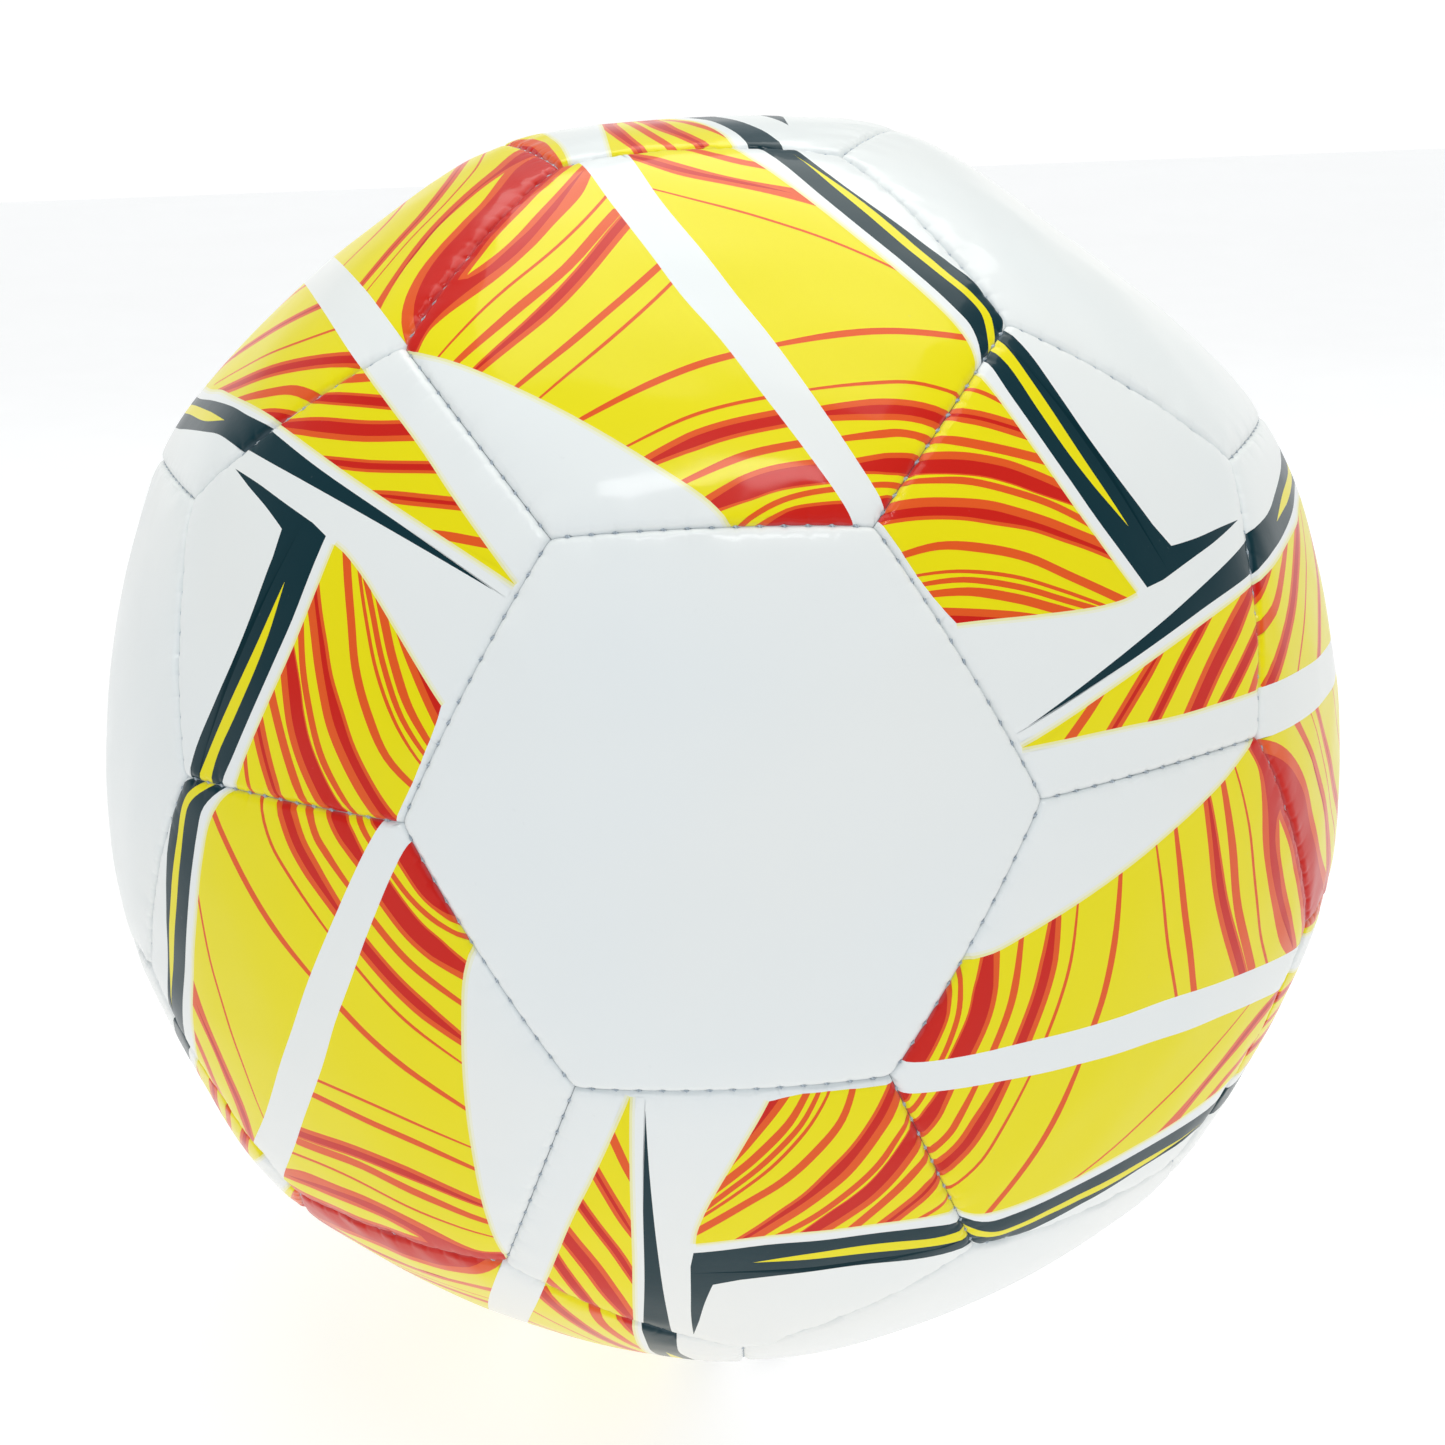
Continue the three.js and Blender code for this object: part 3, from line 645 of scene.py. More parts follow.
def print_band():
    """Hexagons between two pentagons near the equator: streaks, a dark stripe and a flame."""
    boundary = curve((-0.63, 0.75), (-0.61, 0.5), (-0.585, 0.32), (-0.54, 0.05), (-0.49, -0.12),
                     (-0.45, -0.32), (-0.4, -0.55), (-0.36, -0.75), (-0.34, -0.9))
    shapes = ground("yellow")
    shapes += streaks(
        (0.065, 0.5, 0, (-0.53, -0.06), (-0.41, -0.27), (-0.22, -0.55), (0.0, -0.9)),
        (0.04, 0, 0, (-0.48, -0.33), (-0.35, -0.55), (-0.25, -0.72), (-0.18, -0.95)),
        (0.065, 0.5, 0, (-0.43, -0.6), (-0.35, -0.76), (-0.26, -0.95)),
        (0.013, 0, 0, (-0.52, 0.05), (-0.3, -0.25), (-0.14, -0.46), (0.03, -0.65)),
        (0.05, 0.3, 0, (-0.57, 0.36), (-0.36, 0.1), (-0.18, -0.12), (0.02, -0.36)),
        (0.03, 0, 0, (-0.6, 0.75), (-0.3, 0.45), (-0.02, 0.1)),
        (0.06, 0.2, 0, (0.06, -0.47), (0.25, -0.33), (0.42, -0.18), (0.55, 0.02), (0.65, 0.3),
         (0.68, 0.62)),
        (0.02, 0, 0, (0.07, -0.1), (0.24, 0.0), (0.36, 0.16), (0.42, 0.45)),
        (0.012, 0, 0, (0.07, -0.55), (0.3, -0.38), (0.52, -0.2), (0.68, 0.04), (0.76, 0.35)),
        (0.045, 0.4, 0, (0.04, 0.3), (0.2, 0.5), (0.28, 0.85)),
        (0.028, 0, 0, (0.05, 0.6), (0.12, 0.75), (0.15, 0.95)),
    )
    arm_high = curve(
        (0.06, -0.72), (0.16, -0.62), (0.3, -0.48), (0.5, -0.3), (0.7, -0.14), (0.86, 0.03), (1.05, 0.15)
    )
    arm_low = curve((1.05, -0.05), (0.9, -0.15), (0.745, -0.232), (0.6, -0.31), (0.42, -0.43),
                    (0.25, -0.58), (0.06, -0.8))
    shapes += field("orange", arm_high, arm_low)
    core = curve((0.2, -0.615), (0.36, -0.465), (0.54, -0.315), (0.72, -0.185), (0.88, -0.03), (1.05, 0.1))
    core_back = curve((1.05, -0.05), (0.9, -0.15), (0.74, -0.205), (0.58, -0.3), (0.4, -0.45))
    shapes += field("red", core, core_back)
    edge = curve((0.13, -1.05), (0.19, -0.83), (0.31, -0.65), (0.5, -0.51), (0.63, -0.4), (0.745, -0.232))
    shapes += field("orange", edge, [(0.9, -0.15), (1.05, -0.05), (FAR, -FAR), (0.13, -FAR)])
    inner = curve((0.17, -1.05), (0.24, -0.83), (0.36, -0.66), (0.53, -0.54), (0.68, -0.4), (0.79, -0.25))
    shapes += field("red", inner, [(0.9, -0.15), (1.05, -0.05), (FAR, -FAR), (0.17, -FAR)])
    shapes += field("white", boundary, [(-0.36, -FAR), (-FAR, -FAR), (-FAR, FAR), (-0.63, FAR)])
    shapes += fringe(boundary, -1)
    shapes += field(
        "white",
        curve((-0.13, 1.05), (-0.09, 0.7), (-0.07, 0.37), (-0.05, 0.1), (-0.035, -0.2), (-0.025, -0.5),
              (-0.02, -1.05)),
        curve((0.15, -1.1), (0.14, -0.75), (0.13, -0.5), (0.11, -0.2), (0.09, 0.1), (0.07, 0.38),
              (0.04, 0.7), (0.0, 1.05)),
    )
    dark_left = curve((-0.82, 0.6), (-0.78, 0.3), (-0.74, 0.1), (-0.7, -0.03), (-0.62, -0.3),
                      (-0.56, -0.5), (-0.52, -0.75))
    dark_right = curve((-0.67, 0.6), (-0.635, 0.31), (-0.6, 0.1), (-0.54, -0.12), (-0.47, -0.4),
                       (-0.43, -0.6), (-0.37, -0.85))
    shapes += field("dark", dark_left, dark_right[::-1])
    shapes += field(
        "yellow",
        curve((-0.75, 0.6), (-0.715, 0.3), (-0.66, 0.05), (-0.6, -0.22), (-0.52, -0.43)),
        curve((-0.56, -0.22), (-0.62, 0.05), (-0.675, 0.3), (-0.71, 0.6)),
    )
    return shapes


def print_beside_equator():
    """Pentagons at the top and round the middle: a band of streaks between two stripes."""
    left = curve((-0.35, -0.88), (-0.37, -0.6), (-0.39, -0.3), (-0.41, 0), (-0.44, 0.3), (-0.46, 0.8))
    right = curve((0.16, -0.88), (0.08, -0.6), (-0.02, -0.3), (-0.13, 0.02), (-0.21, 0.35), (-0.3, 0.9))
    shapes = ground("white") + field("yellow", left, right[::-1])
    shapes += streaks(
        (0.07, 0.5, 0, (-0.18, -0.95), (-0.3, -0.6), (-0.37, -0.2), (-0.38, 0.2), (-0.4, 0.7)),
        (0.09, 0.5, 0, (0.02, -0.8), (-0.12, -0.5), (-0.19, -0.2), (-0.23, 0.1), (-0.32, 0.6)),
        (0.04, 0, 0, (-0.02, -0.95), (-0.16, -0.68), (-0.26, -0.3), (-0.31, 0.1)),
        (0.04, 0, 0, (0.12, -0.7), (0.02, -0.48), (-0.06, -0.3), (-0.14, -0.1)),
    )
    shapes += field("white", left, [(-0.46, FAR), (-FAR, FAR), (-FAR, -FAR),
                                    (-0.35, -FAR)]) + fringe(left, 1)
    shapes += field("white", right, [(-0.3, FAR), (FAR, FAR), (FAR, -FAR),
                                     (0.16, -FAR)]) + fringe(right, -1)
    corner = curve((-0.53, -0.9), (-0.58, -0.5), (-0.68, 0.0), (-0.76, 0.5))
    shapes += field("yellow", corner, [(-FAR, FAR), (-FAR, -FAR)]) + fringe(corner, -1)
    flame = curve((-0.55, -0.9), (-0.6, -0.6), (-0.66, -0.3), (-0.78, -0.05), (-0.9, 0.06), (-1.05, 0.12))
    shapes += field("orange", flame, [(-FAR, 0.12), (-FAR, -0.9)])
    core = curve((-0.6, -0.9), (-0.65, -0.6), (-0.71, -0.35), (-0.82, -0.14), (-0.94, -0.02), (-1.05, 0.04))
    shapes += field("red", core, [(-FAR, 0.04), (-FAR, -0.9)])
    stripe = curve((0.23, -0.9), (0.15, -0.62), (0.05, -0.3), (-0.05, 0), (-0.14, 0.35), (-0.23, 0.95))
    stripe_back = curve(
        (0.38, -0.9), (0.28, -0.62), (0.16, -0.3), (0.05, 0.02), (-0.04, 0.4), (-0.13, 0.95)
    )
    shapes += field("dark", stripe, stripe_back[::-1])
    shapes += field("dark", curve((0.37, -0.42), (0.29, -0.15), (0.22, 0.1), (0.13, 0.4), (0.03, 0.95)),
                    curve((0.15, 0.95), (0.24, 0.5), (0.32, 0.1), (0.355, -0.15)))
    return shapes


PRINTS = {
    "plain": lambda: [],
    "flame": print_flame,
    "beside_front": print_beside_front,
    "band": print_band,
    "beside_equator": print_beside_equator,
}

# Linear colours of the skin and the inks.
INKS = {
    "white": (0.85, 0.85, 0.825),
    "yellow": (0.86, 0.735, 0.002),
    "yellow_mist": (0.86, 0.81, 0.42),
    "yellow_haze": (0.86, 0.84, 0.68),
    "orange": (0.80, 0.10, 0.012),
    "red": (0.62, 0.011, 0.004),
    "dark": (0.0, 0.026, 0.036),
}

# ---- one panel -------------------------------------------------------------------------
FINE_RINGS = (0.12, 0.3, 0.55, 0.9)  # insets from the rim, with a point every 0.33 mm
MIDDLE_RINGS = (1.4, 2.0, 2.8)
COARSE_RINGS = (3.9, 5.3)
GRID_STARTS = 6.4
GRID_SPACING = 2.2
LINING_SPACING = 6.0
STEPS_PER_STITCH = 10


def apothem(panel):
    """Half the distance between opposite sides, in print coordinates."""
    return math.cos(math.pi / panel.sides)


def scale_of(panel, inset):
    """The share of the outline at which a ring lies some millimetres in from the seam."""
    height = apothem(panel) * panel.size
    return 1 - inset * (height * height + 1) / (SKIN_RADIUS * height)


def outline(panel, steps):
    """(print coordinates, place along the edge) of points round the panel's seams."""
    flat, along = [], []
    for edge in panel.edges:
        half = EDGE_LENGTH / 2
        s = -half + EDGE_LENGTH * np.arange(steps) / steps
        angle = (s / SKIN_RADIUS)[:, None]
        flat.append(panel.flat(edge.middle * np.cos(angle) + edge.along * np.sin(angle)))
        along.append(s)
    return np.concatenate(flat), np.concatenate(along)


def how_far_out(panel, flat):
    """The share of the outline that each point lies on, from 0 at the middle to 1."""
    shares = []
    for edge in panel.edges:
        towards = unit(panel.flat(edge.middle))
        shares.append(flat @ towards / apothem(panel))
    return np.max(shares, axis=0)


def rim_and_dots(panel):
    """The panel's rim, notched at the stitches, and the points inside it."""
    fine = round(STEPS_PER_STITCH * STITCH_SPACES)
    flat, along = outline(panel, fine)
    rim_inset = HALF_GAP + STITCH_HOLE * stitch_pull(along)
    rim = flat * scale_of(panel, rim_inset)[:, None]
    dots = [flat * scale_of(panel, rim_inset + inset)[:, None] for inset in FINE_RINGS]
    for steps, rings in ((fine // 2, MIDDLE_RINGS), (fine // 4, COARSE_RINGS)):
        flat, _ = outline(panel, steps)
        dots += [flat * scale_of(panel, inset) for inset in rings]
    grid = dot_grid(GRID_SPACING / SKIN_RADIUS / panel.size, 1)
    dots.append(grid[how_far_out(panel, grid) < scale_of(panel, GRID_STARTS)])
    return rim, np.concatenate(dots)


def circle(radius, steps):
    angle = 2 * math.pi * np.arange(steps) / steps
    return radius * np.stack([np.cos(angle), np.sin(angle)], -1)


HOLE_STEPS = 72
HOLE_RINGS = (0.12, 0.3, 0.55, 0.9, 1.6)


def flat_skin(panel):
    """The outer skin laid flat: (points, triangles, rims, ink of each triangle)."""
    rim, dots = rim_and_dots(panel)
    loops = [rim]
    if panel.axis is VALVE_AXIS:
        radius_at = lambda mm: math.tan(mm / SKIN_RADIUS) / panel.size
        loops.append(circle(radius_at(VALVE_HOLE_RADIUS), HOLE_STEPS))
        clear = radius_at(VALVE_HOLE_RADIUS + GRID_SPACING)
        dots = dots[np.linalg.norm(dots, axis=1) > clear]
        rings = [circle(radius_at(VALVE_HOLE_RADIUS + inset), HOLE_STEPS) for inset in HOLE_RINGS]
        dots = np.concatenate([dots, *rings])
    shapes = PRINTS[panel.print]()
    points, triangles, rims = flat_mesh(loops, dots, [line for _, line in shapes])
    middles = points[triangles].mean(1)
    inks = np.zeros(len(triangles), int)
    names = list(INKS)
    for ink, line in shapes:
        inks[inside(middles, line)] = names.index(ink)
    return points, triangles, rims, inks


SKINS = {}


def flat_skin_of(panel):
    """The flat skin of a panel's kind, made once for each kind."""
    kind = (panel.print, panel.sides, panel.axis is VALVE_AXIS)
    if kind not in SKINS:
        SKINS[kind] = flat_skin(panel)
    return SKINS[kind]


def put_in_scene(name, data):
    thing = bpy.data.objects.new(name, data)
    bpy.context.scene.collection.objects.link(thing)
    return thing


class Builder:
    """Collects the points and faces of one closed piece."""

    def __init__(self):
        self.points, self.faces, self.slots = [], [], []
        self.count = 0

    def add(self, points):
        self.points.append(np.asarray(points, float))
        first = self.count
        self.count += len(points)
        return np.arange(first, self.count)

    def face(self, faces, slot):
        self.faces += [tuple(int(i) for i in f) for f in faces]
        self.slots += [slot] * len(faces)

    def wall(self, upper, lower, slot):
        """Quads between two rings of the same length, the upper one with the skin on its left."""
        after, below = np.roll(upper, -1), np.roll(lower, -1)
        self.face(np.stack([after, upper, lower, below], -1), slot)

    def mesh(self, name):
        mesh = bpy.data.meshes.new(name)
        mesh.from_pydata(np.concatenate(self.points) * MM, [], self.faces)
        mesh.polygons.foreach_set("material_index", np.array(self.slots, np.int32))
        mesh.polygons.foreach_set("use_smooth", np.ones(len(self.faces), bool))
        return mesh


def lining_height(panel, q):
    skin = SKIN_RADIUS * (1 - panel.flatness + panel.flatness / (q @ panel.axis))
    return skin - PANEL_THICKNESS


SKIN, LINING = 0, 1  # material slots of a panel


def build_panel(panel, seed):
    """One panel as a closed piece: skin, turned-in seam allowance and cloth lining."""
    flat, triangles, rims, inks = flat_skin_of(panel)
    build = Builder()
    skin = build.add(on_skin(panel, flat, seed))
    build.face(skin[triangles], SKIN)

    rim = flat[rims[0]]
    share = how_far_out(panel, rim)
    at_share = lambda inset: rim * (scale_of(panel, inset) / share)[:, None]
    q = panel.towards(at_share(HALF_GAP))
    closed = build.add(q * (skin_height(panel, q, seed).max() - CLOSED_DEPTH))
    bottom = build.add(q * ALLOWANCE_BOTTOM)
    inner_flat = at_share(HALF_GAP + ALLOWANCE_THICKNESS)
    q = panel.towards(inner_flat)
    bottom_in = build.add(q * ALLOWANCE_BOTTOM)
    build.wall(np.array(rims[0]), closed, SKIN)
    build.wall(closed, bottom, SKIN)
    build.wall(bottom, bottom_in, LINING)

    loops = [inner_flat]
    if len(rims) > 1:
        loops.append(flat[rims[1]])
    grid = dot_grid(LINING_SPACING / SKIN_RADIUS / panel.size, 1)
    grid = grid[how_far_out(panel, grid) < scale_of(panel, ALLOWANCE_THICKNESS + LINING_SPACING / 2)]
    if len(rims) > 1:
        hole = np.linalg.norm(flat[rims[1]], axis=1).max()
        grid = grid[np.linalg.norm(grid, axis=1) > 1.5 * hole]
    cloth_flat, cloth_triangles, cloth_rims = flat_mesh(loops, grid)
    q = panel.towards(cloth_flat)
    cloth = build.add(q * lining_height(panel, q)[:, None])
    build.face(cloth[cloth_triangles][:, ::-1], LINING)
    build.wall(bottom_in, match(inner_flat, cloth_flat, cloth), LINING)
    if len(rims) > 1:
        build.wall(np.array(rims[1]), match(flat[rims[1]], cloth_flat, cloth), LINING)
    return finish_panel(panel, build, flat, inks, seed)


def match(wanted, points, numbers):
    """The numbers of the points that lie at the wanted places."""
    found = [int(np.argmin(np.sum((points - p) ** 2, axis=1))) for p in wanted]
    return numbers[found]


def finish_panel(panel, build, flat, inks, seed):
    mesh = build.mesh(panel.name + "_skin")
    colours = np.array([(*INKS[name], 1.0) for name in INKS])
    corner_ink = np.zeros(len(mesh.polygons), int)
    corner_ink[: len(inks)] = inks
    loop_total = np.zeros(len(mesh.polygons), int)
    mesh.polygons.foreach_get("loop_total", loop_total)
    attribute = mesh.color_attributes.new("ink", "FLOAT_COLOR", "CORNER")
    attribute.data.foreach_set("color", np.repeat(colours[corner_ink], loop_total, axis=0).ravel())

    points = np.concatenate(build.points)
    q = unit(points)
    seam = np.min([np.maximum(from_edge(edge, q)[0], 0) for edge in panel.edges], axis=0)
    mesh.attributes.new("seam_mm", "FLOAT", "POINT").data.foreach_set("value", seam)
    cloth = np.zeros((len(points), 3))
    cloth[:, :2] = panel.flat(q) * panel.size * SKIN_RADIUS
    mesh.attributes.new("cloth_mm", "FLOAT_VECTOR", "POINT").data.foreach_set("vector", cloth.ravel())

    normals = np.zeros((len(points), 3))
    normals[: len(flat)] = skin_normals(panel, flat, seed)
    mesh.normals_split_custom_set_from_vertices(normals)
    return put_in_scene(panel.name + "_skin", mesh)


# ---- materials -------------------------------------------------------------------------
class Nodes:
    """A short way to write a node tree, a material's unless it has another owner."""

    def __init__(self, name, owner=None, output="ShaderNodeOutputMaterial"):
        self.owner = owner or bpy.data.materials.new(name)
        self.owner.use_nodes = True
        self.tree = self.owner.node_tree
        self.tree.nodes.clear()
        self.output = self.add(output)

    def add(self, kind, inputs=None, **settings):
        node = self.tree.nodes.new(kind)
        for key, value in settings.items():
            setattr(node, key, value)
        for key, value in (inputs or {}).items():
            self.put(node.inputs[key], value)
        return node

    def put(self, socket, value):
        if isinstance(value, bpy.types.NodeSocket):
            self.tree.links.new(value, socket)
        else:
            socket.default_value = value

    def math(self, operation, a, b=0.0):
        node = self.add("ShaderNodeMath", operation=operation)
        self.put(node.inputs[0], a)
        self.put(node.inputs[1], b)
        return node.outputs[0]

    def noise(self, vector, size_mm, detail=2.0, roughness=0.5):
        node = self.add("ShaderNodeTexNoise", {
            "Vector": vector, "Scale": 1 / (size_mm * MM), "Detail": detail, "Roughness": roughness})
        return node.outputs["Fac"]

    def ramp(self, value, low, high, bottom=0.0, top=1.0, kind="LINEAR"):
        node = self.add("ShaderNodeMapRange", {
            "Value": value, "From Min": low, "From Max": high, "To Min": bottom, "To Max": top},
            interpolation_type=kind)
        return node.outputs["Result"]

    def mix(self, share, a, b, blend="MIX"):
        node = self.add("ShaderNodeMix", data_type="RGBA", blend_type=blend)
        for key, value in zip(("Factor", "A", "B"), (share, a, b)):
            socket = next(s for s in node.inputs if s.name == key and s.enabled)
            self.put(socket, value)
        return next(s for s in node.outputs if s.enabled)

    def bump(self, height, depth_mm, strength=1.0, normal=None):
        inputs = {"Height": height, "Distance": depth_mm * MM, "Strength": strength}
        if normal is not None:
            inputs["Normal"] = normal
        return self.add("ShaderNodeBump", inputs).outputs["Normal"]

    def place(self):
        return self.add("ShaderNodeTexCoord").outputs["Object"]

    def surface(self, **inputs):
        shader = self.add("ShaderNodeBsdfPrincipled")
        for key, value in inputs.items():
            self.put(shader.inputs[key.replace("_", " ")], value)
        self.put(self.output.inputs["Surface"], shader.outputs[0])
        return self.owner


def skin_material():
    """Glossy coated skin: the inks, a fine grain, a slow unevenness, and painted shade along the seams."""
    n = Nodes("coated_skin")
    place = n.place()
    ink = n.add("ShaderNodeAttribute", attribute_name="ink").outputs["Color"]
    seam = n.add("ShaderNodeAttribute", attribute_name="seam_mm").outputs["Fac"]
    tint = n.mix(n.ramp(n.noise(place, 70), 0.35, 0.65), (0.975, 0.99, 1.0, 1), (1.0, 0.995, 0.985, 1))
    colour = n.mix(1.0, ink, tint, "MULTIPLY")
    speckle = n.ramp(n.noise(place, 1.2, 2.0), 0.74, 0.80, 0.0, 0.05)
    colour = n.mix(speckle, colour, (0.45, 0.45, 0.43, 1))
    # Painted shade: a blue grey darkening of the skin, up to 15 percent, within about half a millimetre of
    # each seam.
    seam_shade_reach = n.ramp(n.noise(place, 3.0, 2.0), 0.3, 0.7, 0.25, 0.5)
    seam_shade = n.ramp(n.math("DIVIDE", seam, seam_shade_reach), 0.1, 1.2, 0.15, 0.0)
    colour = n.mix(seam_shade, colour, (0.35, 0.45, 0.52, 1))
    scuffs = n.ramp(n.noise(place, 14.0, 5.0, 0.6), 0.45, 0.75, 0.0, 0.05)
    roughness = n.math("ADD", n.ramp(n.noise(place, 6.0, 3.0), 0.3, 0.7, 0.28, 0.32), scuffs)
    grain = n.add("ShaderNodeTexVoronoi", {"Vector": place, "Scale": 1 / (0.9 * MM)}, feature="SMOOTH_F1")
    fine = n.bump(grain.outputs["Distance"], 0.012, 0.5)
    uneven = n.bump(n.noise(place, 6.0, 2.0), 0.05, 0.5, fine)
    return n.surface(
        Base_Color=colour, Roughness=roughness, Normal=uneven, IOR=1.5, Specular_IOR_Level=0.1,
        Coat_Weight=0.24, Coat_Roughness=n.math("ADD", 0.07, scuffs))


def woven(n, vector, pitch_mm):
    """Height of a plain weave on the X and Y of a vector in millimetres."""
    split = n.add("ShaderNodeSeparateXYZ", {"Vector": vector})
    turn = 2 * math.pi / pitch_mm
    warp = n.math("SINE", n.math("MULTIPLY", split.outputs["X"], turn))
    weft = n.math("SINE", n.math("MULTIPLY", split.outputs["Y"], turn))
    return n.math("MULTIPLY", warp, weft)


def lining_material():
    """The woven cotton and polyester backing of a panel, with dried latex in it."""
    n = Nodes("woven_lining")
    place = n.place()
    cloth = n.add("ShaderNodeAttribute", attribute_name="cloth_mm").outputs["Vector"]
    weave = woven(n, cloth, 1.1)
    colour = n.mix(n.ramp(n.noise(place, 12, 4.0), 0.3, 0.7), (0.62, 0.58, 0.48, 1), (0.74, 0.71, 0.62, 1))
    # Painted shade: the hollows of the weave are darkened.
    colour = n.mix(n.ramp(weave, -1.0, 1.0, 0.35, 0.0), colour, (0.38, 0.35, 0.28, 1))
    latex = n.ramp(n.noise(place, 5.0, 5.0), 0.55, 0.7, 0.0, 0.7)
    colour = n.mix(latex, colour, (0.72, 0.64, 0.44, 1))
    roughness = n.ramp(latex, 0.0, 0.7, 0.92, 0.55)
    return n.surface(
        Base_Color=colour, Roughness=roughness, Normal=n.bump(weave, 0.12, 0.8), Sheen_Weight=0.2)


def thread_material():
    """Waxed polyester sewing thread, twisted from fine plies."""
    n = Nodes("waxed_thread")
    place = n.place()
    strand = n.add("ShaderNodeAttribute", attribute_name="strand").outputs["Vector"]
    split = n.add("ShaderNodeSeparateXYZ", {"Vector": strand})
    turns = n.math("MULTIPLY", split.outputs["X"], 9.0)
    plies = n.math("SINE", n.math("ADD", turns, n.math("MULTIPLY", split.outputs["Y"], 3.0)))
    colour = n.mix(n.ramp(n.noise(place, 4.0, 3.0), 0.3, 0.7), (0.42, 0.48, 0.53, 1), (0.58, 0.63, 0.67, 1))
    # Painted shade: the grooves between the twisted plies are darkened.
    colour = n.mix(n.ramp(plies, -1.0, 0.2, 0.5, 0.0), colour, (0.22, 0.27, 0.32, 1))
    return n.surface(Base_Color=colour, Roughness=n.ramp(plies, -1.0, 1.0, 0.75, 0.5),
                     Normal=n.bump(plies, 0.05, 0.8), Sheen_Weight=0.25)


def rubber_material(name, dark, light, roughness, powder):
    """Moulded rubber with a bloom of powder on it."""
    n = Nodes(name)
    place = n.place()
    colour = n.mix(n.ramp(n.noise(place, 14, 4.0), 0.3, 0.7), (*dark, 1), (*light, 1))
    bloom = n.ramp(n.noise(place, 6.0, 6.0, 0.65), 0.5, 0.75, 0.0, powder)
    colour = n.mix(bloom, colour, (0.45, 0.45, 0.44, 1))
    rough = n.math("ADD", n.ramp(n.noise(place, 2.5, 3.0), 0.3, 0.7, roughness, roughness + 0.12),
                   n.math("MULTIPLY", bloom, 0.4))
    grain = n.bump(n.noise(place, 0.25, 3.0), 0.02, 0.6)
    return n.surface(Base_Color=colour, Roughness=rough, Normal=grain, IOR=1.52)


def washer_material():
    """The stiff woven cloth patch round the valve."""
    n = Nodes("woven_patch")
    place = n.place()
    millimetres = n.add("ShaderNodeVectorMath", {0: place, 1: (1 / MM,) * 3}, operation="MULTIPLY")
    weave = woven(n, millimetres.outputs[0], 0.9)
    colour = n.mix(n.ramp(n.noise(place, 3.0, 4.0), 0.3, 0.7), (0.60, 0.56, 0.44, 1), (0.76, 0.72, 0.60, 1))
    # Painted shade: the hollows of the weave are darkened.
    colour = n.mix(n.ramp(weave, -1.0, 1.0, 0.4, 0.0), colour, (0.36, 0.32, 0.24, 1))
    roughness = n.ramp(weave, -1.0, 1.0, 0.95, 0.8)
    return n.surface(Base_Color=colour, Roughness=roughness, Normal=n.bump(weave, 0.1, 0.8))


# ---- sewing thread ---------------------------------------------------------------------
STRAND_STEPS = 6  # along one stitch
STRAND_SIDES = 5


def seams_of(panels):
    seams = {}
    for panel in panels:
        for edge in panel.edges:
            key = tuple(np.round(edge.middle, 4) + 0.0)
            seams.setdefault(key, []).append((panel, edge))
    return list(seams.values())


def strand_line(seam, hand):
    """The line of one of the two strands of a saddle-stitched seam, crossing at the stitches."""
    hexagon, edge = max(seam, key=lambda pair: pair[0].sides)
    reach = (STITCHES - 1) / 2 * STITCH_PITCH + STITCH_PITCH / 2
    s = np.linspace(-reach, reach, STITCHES * STRAND_STEPS + 1)
    phase = math.pi * s / STITCH_PITCH
    side = hand * THREAD_SWING * np.sin(phase)
    drop = THREAD_HIDDEN_DROP - (THREAD_HIDDEN_DROP - THREAD_CROSSING_DROP) * np.cos(phase) ** 2
    drop += THREAD_STAGGER * hand * np.cos(phase)
    angle = (s / SKIN_RADIUS)[:, None]
    over = edge.middle * np.cos(angle) + edge.along * np.sin(angle)
    dome = SKIN_RADIUS * (1 - hexagon.flatness + hexagon.flatness / (over @ hexagon.axis))
    height = dome + settle(over) - drop
    return over * height[:, None] + edge.inward * side[:, None]


def tube(build, line, radius, sides, strand):
    """A closed tube along a line. Adds (distance along, angle) of each point to strand."""
    along = np.concatenate([[0], np.cumsum(np.linalg.norm(np.diff(line, axis=0), axis=1))])
    tangent = unit(np.gradient(line, axis=0))
    out = unit(line)
    across = unit(np.cross(tangent, out))
    out = np.cross(across, tangent)
    angle = 2 * math.pi * np.arange(sides) / sides
    rings = line[:, None] + radius * (
        np.cos(angle)[None, :, None] * across[:, None] + np.sin(angle)[None, :, None] * out[:, None])
    numbers = build.add(rings.reshape(-1, 3)).reshape(len(line), sides)
    strand += [(a, t, 0.0) for a in along for t in angle]
    for near_ring, far_ring in zip(numbers[:-1], numbers[1:]):
        after, beyond = np.roll(near_ring, -1), np.roll(far_ring, -1)
        build.face(np.stack([near_ring, after, beyond, far_ring], -1), 0)
    build.face([numbers[0][::-1], numbers[-1]], 0)


def build_thread(name, seams, material):
    build = Builder()
    strand = []
    for seam in seams:
        for hand in (1, -1):
            tube(build, strand_line(seam, hand), THREAD_RADIUS, STRAND_SIDES, strand)
    mesh = build.mesh(name)
    mesh.attributes.new("strand", "FLOAT_VECTOR", "POINT").data.foreach_set("vector", np.ravel(strand))
    mesh.materials.append(material)
    return put_in_scene(name, mesh)


def build_threads():
    """Three pieces: the seams of each half, and the last seam to be sewn, between the two."""
    kinds = {0: "seam_thread_lower", 1: "seam_thread_closing", 2: "seam_thread_upper"}
    groups = {name: [] for name in kinds.values()}
    for seam in seams_of(PANELS):
        groups[kinds[sum(panel.axis[2] > 0 for panel, _ in seam)]].append(seam)
    material = thread_material()
    for name, seams in groups.items():
        piece = build_thread(name + "_stitches", seams, material)
        add_piece(piece, BALL, "thread", name)


# ---- bladder and valve, turned about the valve's axis -----------------------------------
TURN_STEPS = 96
ROUNDING_STEPS = 4


